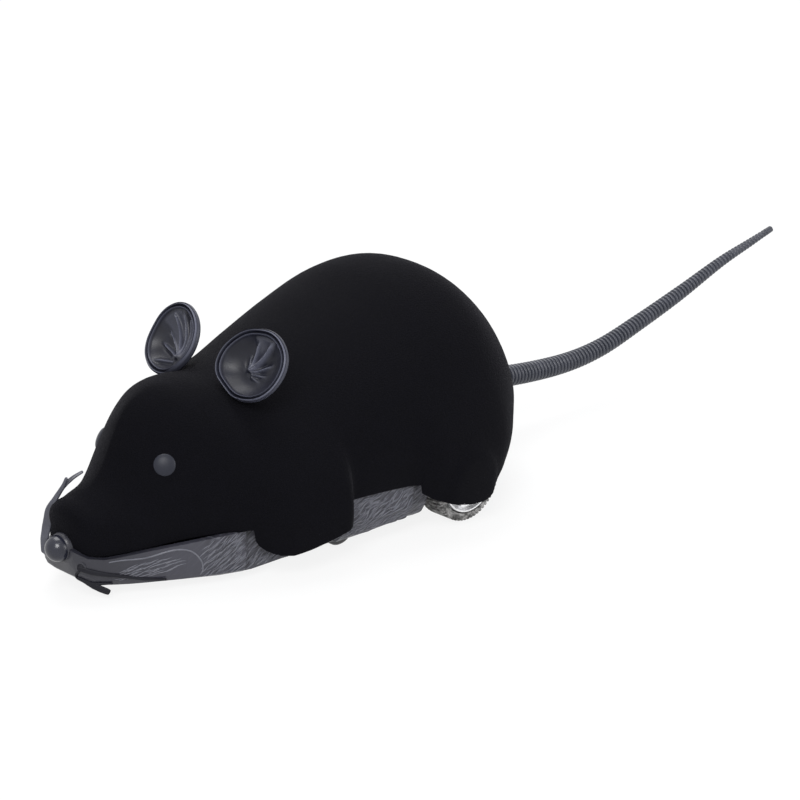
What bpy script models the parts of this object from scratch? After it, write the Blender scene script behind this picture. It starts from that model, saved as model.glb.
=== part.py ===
# Battery driven toy mouse for cats. Metres, Z up, nose toward -Y, left side at +X.
# The origin is on the ground, under the middle of the length from nose to tail tip.

import math

import bmesh
import bpy
import numpy as np
from mathutils import Matrix, Vector
from mathutils.bvhtree import BVHTree

# Overall sizes
overall_length = 0.2200
body_length = 0.1144
body_height = 0.0486
body_half_width = 0.0314
shell_front_setback = 0.0048
cut_overrun = 0.0200

# Places behind the nose tip as shares of the body's length
along_shares = (
    ("whisker_peg", 0.0455),
    ("front_screw", 0.1530),
    ("eye", 0.1976),
    ("switch", 0.2360),
    ("paw_bulge_start", 0.2622),
    ("bay_front", 0.2902),
    ("paw_front", 0.3024),
    ("ear", 0.3803),
    ("paw_rear", 0.4878),
    ("paw_bulge_end", 0.5026),
    ("roller", 0.5227),
    ("haunch_bulge_start", 0.6119),
    ("haunch_front", 0.6364),
    ("haunch_rear", 0.8392),
    ("haunch_bulge_end", 0.9484),
)
place_along = {name: body_length * share for name, share in along_shares}
# Heights, and drops of the lower edge, as shares of the body's height
height_shares = (
    ("paw_drop", 0.1152),
    ("haunch_drop_front", 0.0823),
    ("haunch_drop_rear", 0.1358),
    ("whisker_peg", 0.1481),
    ("tail_pivot", 0.3333),
    ("haunch_bulge_fade", 0.3704),
    ("paw_bulge_fade", 0.4115),
    ("eye", 0.5165),
    ("tail_tip", 0.5597),
    ("paw_bulge_top", 0.6379),
    ("haunch_bulge_top", 0.6790),
    ("ear", 0.8138),
)
level_up = {name: body_height * share for name, share in height_shares}

# Running clearances
part_gap = 0.0003
seam_gap = 0.0003
slip_gap = 0.0003

# Upper shell
shell_wall = 0.0016
skirt_step = 0.0007
paw_front = place_along["paw_front"]
paw_rear = place_along["paw_rear"]
paw_drop = level_up["paw_drop"]
paw_bulge = 0.0044
paw_bulge_start = place_along["paw_bulge_start"]
paw_bulge_end = place_along["paw_bulge_end"]
paw_bulge_rise = 0.0120
paw_bulge_fall = 0.0050
paw_bulge_top = level_up["paw_bulge_top"]
paw_bulge_fade = level_up["paw_bulge_fade"]
haunch_front = place_along["haunch_front"]
haunch_rear = place_along["haunch_rear"]
haunch_drop_front = level_up["haunch_drop_front"]
haunch_drop_rear = level_up["haunch_drop_rear"]
haunch_bulge = 0.0031
haunch_bulge_start = place_along["haunch_bulge_start"]
haunch_bulge_end = place_along["haunch_bulge_end"]
haunch_bulge_rise = 0.0080
haunch_bulge_fall = 0.0140
haunch_bulge_top = level_up["haunch_bulge_top"]
haunch_bulge_fade = level_up["haunch_bulge_fade"]
haunch_rear_step = 0.0030
row_merge = 0.00045
tiny_half_width = 0.0003

# Chassis
chassis_wall = 0.0014
chassis_clearance = 0.0019
skirt_recess = 0.0013
recess_margin = 0.0004
recess_step = 0.0003
recess_lead_in = 0.0018
narrow_end_share = 0.3

# Wheels, tyres and rear axle
tyre_radius = 0.0090
tyre_inner_radius = 0.0073
tyre_width = 0.0068
tyre_shoulder = 0.0009
wheel_inner_side = 0.0230
axle_setback = 0.0044
rear_axle_radius = 0.0010
axle_head_radius = 0.0017
axle_head_width = 0.0006
hub_boss_radius = 0.0026
hub_rim_wall = 0.0011
hub_web_thickness = 0.0015
hub_web_inset = 0.0034
hub_lip = 0.0006
well_half_length = 0.0106
well_height = 0.0140

# Gear train, two stages a side
gear_module = 0.0005
gear_large_teeth = 20
gear_small_teeth = 8
tooth_addendum_share = 0.80
tooth_dedendum_share = 1.05
tooth_root_share = 0.62
tooth_tip_share = 0.26
gear_bore_sides = 12
compound_large_inner = 0.0142
compound_large_width = 0.0020
compound_small_width = 0.0027
wheel_gear_inner = 0.0169
wheel_gear_width = 0.0018
gear_sleeve_radius = 0.0020
idler_pin_radius = 0.0006
pinion_inner = 0.0140
pinion_width = 0.0024
motor_shaft_radius = 0.00075

# Gearbox plates
inner_plate_side = 0.0126
inner_plate_thickness = 0.0010
outer_plate_side = 0.0192
outer_plate_thickness = 0.0009
gearbox_front_reach = 0.0104
gearbox_rear_reach = 0.0072
gearbox_wall = 0.0010
gearbox_top_margin = 0.0058

# Motors and their clamp
motor_radius = 0.0056
motor_half_gap = 0.0004
motor_rim_share = 0.9
motor_neck_radius = 0.0020
motor_neck_length = 0.0006
clamp_half_width = 0.0090
clamp_thickness = 0.0010

# Cells and their bay
cell_radius = 0.00525
cell_length = 0.0445
cell_button_radius = 0.0019
cell_button_height = 0.0008
cell_offset = 0.00555
bay_wall = 0.0012
bay_front = place_along["bay_front"]
contact_thickness = 0.0005
contact_margin = 0.0008
spring_length = 0.0032
contact_tab_width = 0.0020
contact_tab_height = 0.0020
contact_inner_side = 0.0026
contact_outer_side = 0.0096
spring_wire_radius = 0.00019
spring_small_radius = 0.0014
spring_large_radius = 0.0027
spring_turns = 3
spring_turn_points = 10

# Battery door and its screw
door_thickness = 0.0014
door_tongue_half_width = 0.0016
door_tongue_reach = 0.0016
door_tongue_root = 0.0018
door_tongue_thickness = 0.0010
door_tongue_swing = 0.0019
door_ear_half_width = 0.0046
door_ear_length = 0.0088
door_screw_setback = 0.0053
door_screw_head_radius = 0.0018
door_screw_head_height = 0.0007
door_screw_head_depth = 0.00015
door_screw_radius = 0.0007
door_screw_block_half_width = 0.0030
door_screw_block_height = 0.0032
door_screw_block_margin = 0.0028

# Body screws and the posts they hold
body_screw_front_along = place_along["front_screw"]
rear_screw_setback = 0.0066
rear_screw_side = 0.0083
body_screw_radius = 0.0008
body_screw_head_radius = 0.0017
body_screw_head_height = 0.0010
body_screw_length = 0.0090
screw_pocket_radius = 0.0031
screw_pocket_height = 0.0042
screw_pocket_depth = 0.0020
post_radius = 0.0025
post_sides = 10

# Power switch
switch_along = place_along["switch"]
switch_half_length = 0.0045
switch_half_width = 0.0022
switch_height = 0.0036
switch_travel = 0.0025
knob_half_size = 0.0010
knob_proud = 0.0006
knob_rise = 0.0014

# Circuit board
board_setback = 0.0048
board_length = 0.0340
board_half_width = 0.0115
board_thickness = 0.0012
board_post_height = 0.0014
board_post_radius = 0.0013
board_post_inset = 0.0025
chip_length = 0.0100
chip_width = 0.0060
chip_height = 0.0016
chip_setback = 0.0120
chip_side = -0.0030
can_length = 0.0100
can_width = 0.0034
can_height = 0.0034
can_setback = 0.0240
can_side = -0.0040
capacitor_radius = 0.0025
capacitor_height = 0.0070
capacitor_setback = 0.0220
capacitor_side = 0.0065

# Leads
lead_radius = 0.0006
lead_sides = 5
lead_steps = 8
lead_inset_share = 0.9

# Front rollers
roller_along = place_along["roller"]
roller_radius = 0.0040
roller_inner_side = 0.0170
roller_width = 0.0036
roller_stub_radius = 0.0009
roller_stub_length = 0.0018
rib_thickness = 0.0010
rib_half_length = 0.0022
rib_rise = 0.0024
roller_slot_margin = 0.0004

# Nose
nose_radius = 0.0031
nose_height_share = 0.2202
nose_height = body_height * nose_height_share
nose_neck_radius = 0.0024
nose_neck_end = 0.0076
nose_flange_radius = 0.0038
nose_flange_thickness = 0.0010

# Eyes
eye_radius = 0.0023
eye_dome = 0.0012
eye_rim_share = 0.94
eye_pocket_depth = 0.0009
eye_along = place_along["eye"]
eye_height = level_up["eye"]
eye_stem_radius = 0.0011
eye_stem_length = 0.0034

# Ears
ear_side = 0.0122
ear_along = place_along["ear"]
ear_height = level_up["ear"]
ear_radius = 0.0086
ear_root_taper_share = 0.05
ear_side_taper_share = 0.12
ear_back_share = 0.97
ear_cup_depth = 0.0026
ear_wall = 0.0011
ear_bead = 0.0005
ear_yaw = math.radians(8)
ear_pitch = math.radians(29)
ear_lean = math.radians(26)
ear_sides = 24
ear_stem_radius = 0.0016
ear_stem_length = 0.0120
ear_stem_place_share = 0.45
ear_stem_tilt_share = 0.30

# Whiskers
whisker_radius = 0.00042
whisker_root_radius = 0.0007
whisker_standoff = 0.0008
whisker_seek_share = 1.5
whisker_peg_radius = 0.0008
whisker_peg_side = 0.0054
whisker_peg_along = place_along["whisker_peg"]
whisker_peg_height = level_up["whisker_peg"]
whisker_peg_depth = 0.0036
whisker_peg_reach = 0.0008
whisker_flange_radius = 0.0013
whisker_flange_thickness = 0.0006
whisker_flange_setback = 0.0024
whisker_steps = 6
whisker_span = 0.0200
whisker_sides = 5

# Tail
tail_root_setback = 0.0006
tail_tip_height = level_up["tail_tip"]
tail_root_radius = 0.0025
tail_tip_radius = 0.00075
tail_rings = 66
tail_sides = 8
tail_valley_share = 0.84
tail_crest_share = 0.55
tail_pivot_inset = 0.0010
tail_pivot_height = level_up["tail_pivot"]
tail_neck_radius = 0.0016
tail_neck_outer = 0.0029
tail_neck_inner = 0.0032
tail_flange_radius = 0.0030
tail_flange_thickness = 0.0012
tail_hole_radius = 0.0024

# Rows of the upper shell from front to rear, as shares of the body's length, half width and height:
# edge place, half width, edge height, ridge place, ridge height, widest height, tuck, roundness
shell_row_shares = (
    (0.000, 0.010, 0.232, 0.000, 0.263, 0.252, 0.000, 2.00),
    (0.002, 0.102, 0.216, -0.002, 0.326, 0.268, 0.000, 2.00),
    (0.012, 0.182, 0.194, 0.002, 0.368, 0.278, 0.000, 2.00),
    (0.033, 0.236, 0.184, 0.016, 0.388, 0.275, 0.000, 1.90),
    (0.066, 0.287, 0.184, 0.044, 0.404, 0.269, 0.003, 1.70),
    (0.110, 0.369, 0.194, 0.086, 0.460, 0.267, 0.006, 1.40),
    (0.163, 0.478, 0.211, 0.138, 0.632, 0.274, 0.006, 1.42),
    (0.217, 0.586, 0.223, 0.194, 0.735, 0.287, 0.006, 1.68),
    (0.273, 0.682, 0.231, 0.255, 0.752, 0.303, 0.010, 1.95),
    (0.343, 0.771, 0.246, 0.334, 0.709, 0.320, 0.010, 2.00),
    (0.430, 0.854, 0.259, 0.430, 0.754, 0.331, 0.013, 2.05),
    (0.517, 0.924, 0.263, 0.526, 0.838, 0.344, 0.016, 2.15),
    (0.605, 0.975, 0.254, 0.622, 0.926, 0.352, 0.019, 2.20),
    (0.694, 1.000, 0.246, 0.719, 1.000, 0.356, 0.022, 2.20),
    (0.780, 0.968, 0.238, 0.806, 0.988, 0.356, 0.025, 2.20),
    (0.853, 0.854, 0.234, 0.881, 0.872, 0.352, 0.040, 2.15),
    (0.911, 0.688, 0.229, 0.934, 0.690, 0.340, 0.056, 2.10),
    (0.950, 0.510, 0.227, 0.967, 0.508, 0.316, 0.036, 2.05),
    (0.978, 0.310, 0.225, 0.985, 0.369, 0.280, 0.006, 2.00),
    (0.994, 0.020, 0.225, 0.994, 0.246, 0.232, 0.000, 2.00),
)
# The same rows of the chassis, as shares of body length, half width and the edge's height over the floor:
# edge shift along, edge shift outward, keel place, keel height over the floor, flat half width
chassis_row_shares = (
    (-0.008, 0.000, -0.007, 0.960, 0.006),
    (-0.008, 0.029, -0.007, 0.650, 0.048),
    (-0.005, 0.032, -0.002, 0.400, 0.096),
    (-0.003, 0.035, 0.014, 0.210, 0.140),
    (0.000, 0.034, 0.049, 0.080, 0.235),
    (0.000, 0.034, 0.098, 0.010, 0.330),
    (0.000, 0.042, 0.156, 0.000, 0.450),
    (0.000, 0.028, 0.215, 0.000, 0.570),
    (0.000, 0.012, 0.273, 0.000, 0.640),
    (0.000, -0.004, 0.343, 0.000, 0.650),
    (0.000, -0.020, 0.430, 0.000, 0.630),
    (0.000, -0.022, 0.517, 0.000, 0.610),
    (0.000, -0.022, 0.605, 0.000, 0.570),
    (0.000, -0.022, 0.694, 0.000, 0.694),
    (0.000, -0.022, 0.780, 0.000, 0.656),
    (-0.002, -0.022, 0.848, 0.030, 0.560),
    (-0.003, -0.022, 0.897, 0.100, 0.433),
    (-0.005, -0.022, 0.938, 0.180, 0.299),
    (-0.006, -0.018, 0.970, 0.240, 0.150),
    (-0.006, 0.000, 0.989, 0.270, 0.012),
)
chassis_roundness = 2.8
# The tail's centre line after its root: shares of the reach behind the root and of the tip's height
tail_path_shares = (
    (0.020, 0.588),
    (0.105, 0.488),
    (0.273, 0.360),
    (0.405, 0.362),
    (0.540, 0.462),
    (0.678, 0.606),
    (0.817, 0.790),
    (0.924, 0.922),
    (1.000, 1.000),
)
# Radius along the tail as shares of the root radius, against the share of the reach
tail_radius_shares = ((0.0, 1.0), (0.25, 0.92), (0.66, 0.68), (1.0, 0.30))
# The ear's front from its middle out: share of the radius, and share of the cup's depth
ear_bowl_shares = ((0.0, -1.0), (0.35, -0.86), (0.62, -0.58), (0.84, -0.20), (0.92, 0.06))
# The ear's rim: share of the radius, and share of the bead's height
ear_bead_shares = ((0.95, 1.2), (1.0, 0.6))
ear_rim_back_share = 0.9
# Whisker prongs, the later ones branching off the first: shares of the whisker span, sideways, back and up
left_prong_shares = (
    ((0.0, 0.0, 0.0), (0.03, 0.05, -0.13), (0.09, 0.13, -0.155), (0.145, 0.205, -0.165)),
    ((0.0, 0.0, 0.0), (0.13, 0.175, -0.075), (0.21, 0.355, -0.135), (0.295, 0.535, -0.19),
     (0.395, 0.705, -0.22)),
    ((0.03, 0.05, -0.13), (0.09, 0.12, -0.21), (0.14, 0.195, -0.275)),
)
right_prong_shares = (
    ((0.0, 0.0, 0.0), (0.0, -0.02, 0.16), (0.0, 0.0, 0.285), (-0.06, 0.065, 0.52), (-0.12, 0.19, 0.67),
     (-0.22, 0.365, 0.77)),
    ((-0.06, 0.065, 0.52), (-0.05, 0.17, 0.61), (-0.11, 0.30, 0.69)),
    ((0.0, 0.0, 0.285), (0.02, 0.07, 0.36), (0.01, 0.13, 0.45)),
)

# Places worked out from the sizes
nose_tip_y = -overall_length / 2
chassis_floor_top = chassis_clearance + chassis_wall
cell_height = chassis_floor_top + part_gap + cell_radius
bay_half_width = cell_offset + cell_radius + part_gap
bay_inner_length = cell_length + spring_length + 2 * contact_thickness + 5 * part_gap
bay_rear = bay_front + bay_inner_length
rear_axle_along = bay_rear + axle_setback
well_front = rear_axle_along - well_half_length
well_rear = rear_axle_along + well_half_length
gearbox_front = rear_axle_along - gearbox_front_reach
gearbox_rear = rear_axle_along + gearbox_rear_reach
body_screw_rear_along = rear_axle_along + rear_screw_setback
board_front = bay_front + board_setback
board_rear = board_front + board_length
chip_along = board_front + chip_setback
can_along = board_front + can_setback
capacitor_along = board_front + capacitor_setback
tail_root_along = shell_front_setback + body_length - tail_root_setback
bay_roof_low = cell_height + cell_radius + part_gap
bay_roof_top = bay_roof_low + bay_wall
gear_large_pitch = gear_module * gear_large_teeth / 2
gear_small_pitch = gear_module * gear_small_teeth / 2
stage_distance = gear_large_pitch + gear_small_pitch
axle_height = tyre_radius
motor_height = bay_roof_top + part_gap + motor_radius
train_rise = motor_height - axle_height
train_run = math.sqrt((2 * stage_distance) ** 2 - train_rise ** 2)
motor_along = rear_axle_along - train_run
idler_along = rear_axle_along - train_run / 2
idler_height = axle_height + train_rise / 2
train_angle = math.atan2(train_rise, -train_run)
wheel_outer_side = wheel_inner_side + tyre_width
hub_radius = tyre_inner_radius - slip_gap
axle_bore = rear_axle_radius + slip_gap

# The two sides of the body with the ends of their names
both_sides = (("left", 1), ("right", -1))


def along(distance):
    """World Y of a place at this distance behind the nose tip."""
    return nose_tip_y + distance


for old in list(bpy.data.objects):
    bpy.data.objects.remove(old, do_unlink=True)


# Materials and small builders
def material(name, colour, roughness, metallic=0.0):
    made = bpy.data.materials.new(name)
    made.use_nodes = True
    shader = made.node_tree.nodes["Principled BSDF"]
    shader.inputs["Base Color"].default_value = (*colour, 1.0)
    shader.inputs["Roughness"].default_value = roughness
    shader.inputs["Metallic"].default_value = metallic
    return made


def add_object(name, mesh, colour, roughness, metallic=0.0, origin=None, smooth=40):
    """Links a mesh as a named object, with its origin moved to the given place."""
    thing = bpy.data.objects.new(name, mesh)
    bpy.context.scene.collection.objects.link(thing)
    mesh.materials.clear()
    mesh.materials.append(material(name + "_finish", colour, roughness, metallic))
    if origin is not None:
        mesh.transform(Matrix.Translation(-Vector(origin)))
        thing.location = origin
    if smooth:
        mesh.shade_smooth()
        mesh.set_sharp_from_angle(angle=math.radians(smooth))
    return thing


def mesh_from(verts, faces):
    mesh = bpy.data.meshes.new("shape")
    mesh.from_pydata([tuple(v) for v in verts], [], faces)
    mesh.validate()
    mesh.update()
    return mesh


def box(x0, x1, y0, y1, z0, z1):
    xs = (min(x0, x1), max(x0, x1))
    ys = (min(y0, y1), max(y0, y1))
    zs = (min(z0, z1), max(z0, z1))
    verts = [(x, y, z) for z in zs for y in ys for x in xs]
    faces = [(0, 2, 3, 1), (4, 5, 7, 6), (0, 1, 5, 4), (2, 6, 7, 3), (0, 4, 6, 2), (1, 3, 7, 5)]
    return mesh_from(verts, faces)


def frame_along(direction):
    """A rotation whose Z axis is the given direction."""
    return Vector(direction).to_track_quat("Z", "Y").to_matrix().to_4x4()


def turned(profile, centre, direction, sides, looped=False, turn=0.0):
    """Turns (place along the axis, radius) pairs round an axis; the profile runs along the axis."""
    verts = []
    rings = []
    for place, radius in profile:
        if radius == 0:
            rings.append([len(verts)])
            verts.append(Vector((0, 0, place)))
            continue
        ring = []
        for k in range(sides):
            angle = turn + 2 * math.pi * k / sides
            ring.append(len(verts))
            verts.append(Vector((radius * math.cos(angle), radius * math.sin(angle), place)))
        rings.append(ring)
    faces = []
    pairs = list(zip(rings[:-1], rings[1:]))
    if looped:
        pairs.append((rings[-1], rings[0]))
    for low, high in pairs:
        for k in range(sides):
            j = (k + 1) % sides
            if len(low) == 1:
                faces.append((low[0], high[j], high[k]))
            elif len(high) == 1:
                faces.append((low[k], low[j], high[0]))
            else:
                faces.append((low[k], low[j], high[j], high[k]))
    if not looped:
        if len(rings[0]) > 1:
            faces.append(tuple(reversed(rings[0])))
        if len(rings[-1]) > 1:
            faces.append(tuple(rings[-1]))
    place_at = Matrix.Translation(Vector(centre)) @ frame_along(direction)
    mesh = mesh_from([place_at @ v for v in verts], faces)
    return outward(mesh)


def outward(mesh):
    """Points all faces of a closed mesh out."""
    bm = bmesh.new()
    bm.from_mesh(mesh)
    bmesh.ops.recalc_face_normals(bm, faces=bm.faces)
    if bm.calc_volume(signed=True) < 0:
        bmesh.ops.reverse_faces(bm, faces=bm.faces)
    bm.to_mesh(mesh)
    bm.free()
    return mesh


def rod(start, end, radius, sides=12, turn=0.0):
    start = Vector(start)
    end = Vector(end)
    length = (end - start).length
    return turned([(0, radius), (length, radius)], start, end - start, sides, turn=turn)


def tube(points, radii, sides, first_axis=(1, 0, 0)):
    """A closed tube through points, with a radius at each one."""
    points = [Vector(p) for p in points]
    side_axis = Vector(first_axis)
    verts = []
    faces = []
    for i, point in enumerate(points):
        ahead = points[min(i + 1, len(points) - 1)] - points[max(i - 1, 0)]
        ahead.normalize()
        side_axis = (side_axis - ahead * side_axis.dot(ahead)).normalized()
        other = ahead.cross(side_axis)
        for k in range(sides):
            angle = 2 * math.pi * k / sides
            verts.append(point + radii[i] * (math.cos(angle) * side_axis + math.sin(angle) * other))
    for i in range(len(points) - 1):
        for k in range(sides):
            j = (k + 1) % sides
            a = i * sides
            b = a + sides
            faces.append((a + k, a + j, b + j, b + k))
    faces.append(tuple(reversed(range(sides))))
    last = (len(points) - 1) * sides
    faces.append(tuple(range(last, last + sides)))
    return outward(mesh_from(verts, faces))


def curve_points(stops, steps):
    """Points on a smooth curve through the stops, evenly spaced along it."""
    stops = [np.array(s, dtype=float) for s in stops]
    dense = []
    count = len(stops)
    fine = 24
    for i in range(count - 1):
        before = stops[i - 1] if i else 2 * stops[0] - stops[1]
        after = stops[i + 2] if i + 2 < count else 2 * stops[-1] - stops[-2]
        here, there = stops[i], stops[i + 1]
        for k in range(fine):
            f = k / fine
            dense.append((2 * here + (there - before) * f
                          + (2 * before - 5 * here + 4 * there - after) * f * f
                          + (3 * here - before - 3 * there + after) * f * f * f) / 2)
    dense.append(stops[-1])
    dense = np.array(dense)
    lengths = np.concatenate([[0.0], np.cumsum(np.linalg.norm(np.diff(dense, axis=0), axis=1))])
    wanted = np.linspace(0.0, lengths[-1], steps + 1)
    return np.stack([np.interp(wanted, lengths, dense[:, k]) for k in range(3)], axis=1)


def boolean(base, tool, operation):
    """Joins or cuts two meshes with the exact solver and returns the new mesh."""
    first = bpy.data.objects.new("base", base)
    second = bpy.data.objects.new("tool", tool)
    for thing in (first, second):
        bpy.context.scene.collection.objects.link(thing)
    change = first.modifiers.new("change", "BOOLEAN")
    change.operation = operation
    change.solver = "EXACT"
    change.object = second
    graph = bpy.context.evaluated_depsgraph_get()
    result = bpy.data.meshes.new_from_object(first.evaluated_get(graph))
    bpy.data.objects.remove(first, do_unlink=True)
    bpy.data.objects.remove(second, do_unlink=True)
    bpy.data.meshes.remove(base)
    bpy.data.meshes.remove(tool)
    return result


def join(base, *tools):
    for tool in tools:
        base = boolean(base, tool, "UNION")
    return base


def cut(base, *tools):
    for tool in tools:
        base = boolean(base, tool, "DIFFERENCE")
    return base


# Body surface
def spline_row(table, parameter):
    count = len(table)
    parameter = min(max(parameter, 0.0), count - 1.0)
    i = min(int(parameter), count - 2)
    f = parameter - i
    a, b, c, d = (np.array(table[min(max(k, 0), count - 1)]) for k in (i - 1, i, i + 1, i + 2))
    square = 2 * a - 5 * b + 4 * c - d
    cube = 3 * b - a - 3 * c + d
    return (2 * b + (c - a) * f + square * f ** 2 + cube * f ** 3) / 2


def row_at(distance):
    """Row parameter of the shell's edge at this distance behind the nose tip."""
    low = 0.0
    high = len(shell_row_shares) - 1.0
    for _ in range(40):
        middle = (low + high) / 2
        if shell_front_setback + body_length * spline_row(shell_row_shares, middle)[0] < distance:
            low = middle
        else:
            high = middle
    return low


def ramp(value):
    value = min(max(value, 0.0), 1.0)
    return value * value * (3 - 2 * value)


def plateau(value, start, end, rise, fall):
    return ramp((value - start) / rise) * ramp((end - value) / fall)


def skirt_drop(distance):
    paw = paw_drop * plateau(distance, paw_front, paw_rear, skirt_step, skirt_step)
    back = (distance - haunch_front) / (haunch_rear - haunch_front)
    haunch = haunch_drop_front + (haunch_drop_rear - haunch_drop_front) * back
    haunch *= plateau(distance, haunch_front, haunch_rear, skirt_step, haunch_rear_step)
    return paw + haunch


def bulge(distance, height):
    paw = paw_bulge * plateau(distance, paw_bulge_start, paw_bulge_end, paw_bulge_rise, paw_bulge_fall)
    paw *= ramp((paw_bulge_top - height) / paw_bulge_fade)
    haunch = haunch_bulge * plateau(distance, haunch_bulge_start, haunch_bulge_end,
                                    haunch_bulge_rise, haunch_bulge_fall)
    haunch *= ramp((haunch_bulge_top - height) / haunch_bulge_fade)
    return paw + haunch


def shell_section(parameter, top_columns=8, low_columns=2):
    """Half a section of the upper shell, from the ridge out and down to its edge."""
    edge, half, low, ridge, high, widest, tuck, roundness = spline_row(shell_row_shares, parameter)
    edge = shell_front_setback + body_length * edge
    ridge = shell_front_setback + body_length * ridge
    half *= body_half_width
    tuck *= body_half_width
    low, high, widest = (body_height * v for v in (low, high, widest))
    low -= skirt_drop(edge)
    points = []
    for k in range(top_columns + 1):
        angle = math.pi / 2 * k / top_columns
        rise = math.cos(angle) ** (2 / roundness) if k < top_columns else 0.0
        side = half * math.sin(angle) ** (2 / roundness)
        points.append([side, edge + (ridge - edge) * rise, widest + (high - widest) * rise])
    for k in range(1, low_columns + 1):
        f = k / low_columns
        points.append([half - tuck * f * f, edge, widest + (low - widest) * f])
    for point in points:
        swell = bulge(point[1], point[2]) * min(1.0, point[0] / max(half, tiny_half_width))
        point[0] += swell
        point[1] = along(point[1])
    return np.array(points)


def chassis_section(parameter, side_columns=4, recessed=True, lead_in=0.0):
    """Half a section of the chassis, from its edge down and in to the keel."""
    edge, half, low, _, _, _, tuck, _ = spline_row(shell_row_shares, parameter)
    shift, outset, keel, keel_rise, flat = spline_row(chassis_row_shares, parameter)
    distance = shell_front_setback + body_length * edge
    step = recess_step + lead_in
    margin = recess_margin + lead_in
    recess = skirt_recess * max(
        plateau(distance, paw_front - margin, paw_rear + margin, step, step),
        plateau(distance, haunch_front - margin, haunch_rear, step, haunch_rear_step))
    if not recessed:
        recess = 0.0
    half = max(body_half_width * (half + outset - tuck) - recess, tiny_half_width)
    edge_at = distance + body_length * shift
    keel_at = shell_front_setback + body_length * keel
    top = body_height * low - seam_gap
    bottom = chassis_clearance + (top - chassis_clearance) * keel_rise
    flat = min(body_half_width * flat, half)
    points = []
    for k in range(side_columns + 1):
        angle = math.pi / 2 * k / side_columns
        f = math.sin(angle) ** (2 / chassis_roundness)
        g = math.cos(angle) ** (2 / chassis_roundness) if k < side_columns else 0.0
        place = along(edge_at + (keel_at - edge_at) * f)
        points.append((flat + (half - flat) * g, place, top + (bottom - top) * f))
    points.append((flat / 2, along(keel_at), bottom))
    points.append((0.0, along(keel_at), bottom))
    return np.array(points)


def row_parameters(steps, fine_rows):
    """Row places along the body: even ones, and exact ones at the given steps."""
    exact = [row_at(s) for s in steps]
    even = []
    last = len(shell_row_shares) - 1
    for k in range(last):
        even.append(float(k))
        if k in fine_rows:
            even.append(k + 0.5)
    even.append(float(last))
    kept = list(exact)
    for value in even:
        place = body_length * spline_row(shell_row_shares, value)[0]
        near = [abs(place - body_length * spline_row(shell_row_shares, e)[0]) for e in exact]
        if value in (0.0, float(last)) or min(near) > 2 * row_merge:
            kept.append(value)
    return sorted(kept)


def grid_normals(grid):
    """Unit normals of a grid of points, turned away from the middle of the body."""
    by_row = np.gradient(grid, axis=0)
    by_column = np.gradient(grid, axis=1)
    normals = np.cross(by_row, by_column)
    lengths = np.linalg.norm(normals, axis=2, keepdims=True)
    normals = normals / np.where(lengths > 0, lengths, 1.0)
    middle = np.array([0.0, grid[:, :, 1].mean(), axle_height])
    return normals * np.sign(np.mean(np.sum(normals * (grid - middle), axis=2)))


def tray_inside(grid, plain_edge, wall):
    """The inner surface of a tray: its plan drawn in by the wall, its floor raised by the wall."""
    edge = grid[:, 0, :]
    step = np.gradient(plain_edge, axis=0)
    length = np.hypot(step[:, 0], step[:, 1])
    face_out = np.abs(step[:, 1]) / length
    face_end = np.abs(step[:, 0]) / length * np.sign(edge[:, 1] - edge[:, 1].mean())
    half = np.abs(edge[:, 0])
    narrower = np.maximum((half - wall * face_out) / half, narrow_end_share)
    top = edge[:, 2]
    depth = top - grid[:, :, 2].min(axis=1)
    shallower = (depth - wall) / depth
    inner = grid.copy()
    inner[:, :, 0] *= narrower[:, None]
    inner[:, :, 1] -= (wall * face_end)[:, None]
    shallower = np.maximum(shallower, narrow_end_share)[:, None]
    inner[:, :, 2] = top[:, None] - (top[:, None] - grid[:, :, 2]) * shallower
    return inner


def thick_grid(grid, inner):
    """A closed solid between a grid surface and its inner surface."""
    rows, columns, _ = grid.shape
    verts = list(grid.reshape(-1, 3)) + list(inner.reshape(-1, 3))
    offset = rows * columns
    faces = []
    for i in range(rows - 1):
        for j in range(columns - 1):
            a = i * columns + j
            quad = (a, a + 1, a + columns + 1, a + columns)
            faces.append(quad)
            faces.append(tuple(offset + v for v in reversed(quad)))
    edge = [j for j in range(columns)]
    edge += [i * columns + columns - 1 for i in range(1, rows)]
    edge += [(rows - 1) * columns + j for j in range(columns - 2, -1, -1)]
    edge += [i * columns for i in range(rows - 2, 0, -1)]
    for a, b in zip(edge, edge[1:] + edge[:1]):
        faces.append((b, a, offset + a, offset + b))
    return outward(mesh_from(verts, faces))


def whole_rows(half_sections):
    """Both sides of each half section, from one edge over the middle to the other edge."""
    rows = []
    flip = np.array([-1.0, 1.0, 1.0])
    for half in half_sections:
        inward = half if half[0][0] > half[-1][0] else half[::-1]
        rows.append(np.concatenate([inward, inward[-2::-1] * flip]))
    return np.array(rows)


shell_steps = (
    paw_front, paw_front + skirt_step, paw_rear - skirt_step, paw_rear,
    haunch_front, haunch_front + skirt_step,
)
chassis_steps = (
    paw_front - recess_margin, paw_front - recess_margin + recess_step,
    paw_rear + recess_margin - recess_step, paw_rear + recess_margin,
    haunch_front - recess_margin, haunch_front - recess_margin + recess_step,
)
shell_rows = row_parameters(shell_steps, (4, 5, 6, 7, 8, 9, 10, 11, 12, 13, 14, 15, 16))
chassis_rows = row_parameters(chassis_steps, (3, 4))
shell_grid = whole_rows([shell_section(p) for p in shell_rows])
chassis_grid = whole_rows([chassis_section(p) for p in chassis_rows])
chassis_lead_in_grid = whole_rows([chassis_section(p, lead_in=recess_lead_in) for p in chassis_rows])
chassis_plain_edge = np.array([chassis_section(p, recessed=False)[0] for p in chassis_rows])


def tree_of(grid):
    rows, columns, _ = grid.shape
    quads = [(i * columns + j, i * columns + j + 1, (i + 1) * columns + j + 1, (i + 1) * columns + j)
             for i in range(rows - 1) for j in range(columns - 1)]
    return BVHTree.FromPolygons([Vector(v) for v in grid.reshape(-1, 3)], quads)


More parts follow.
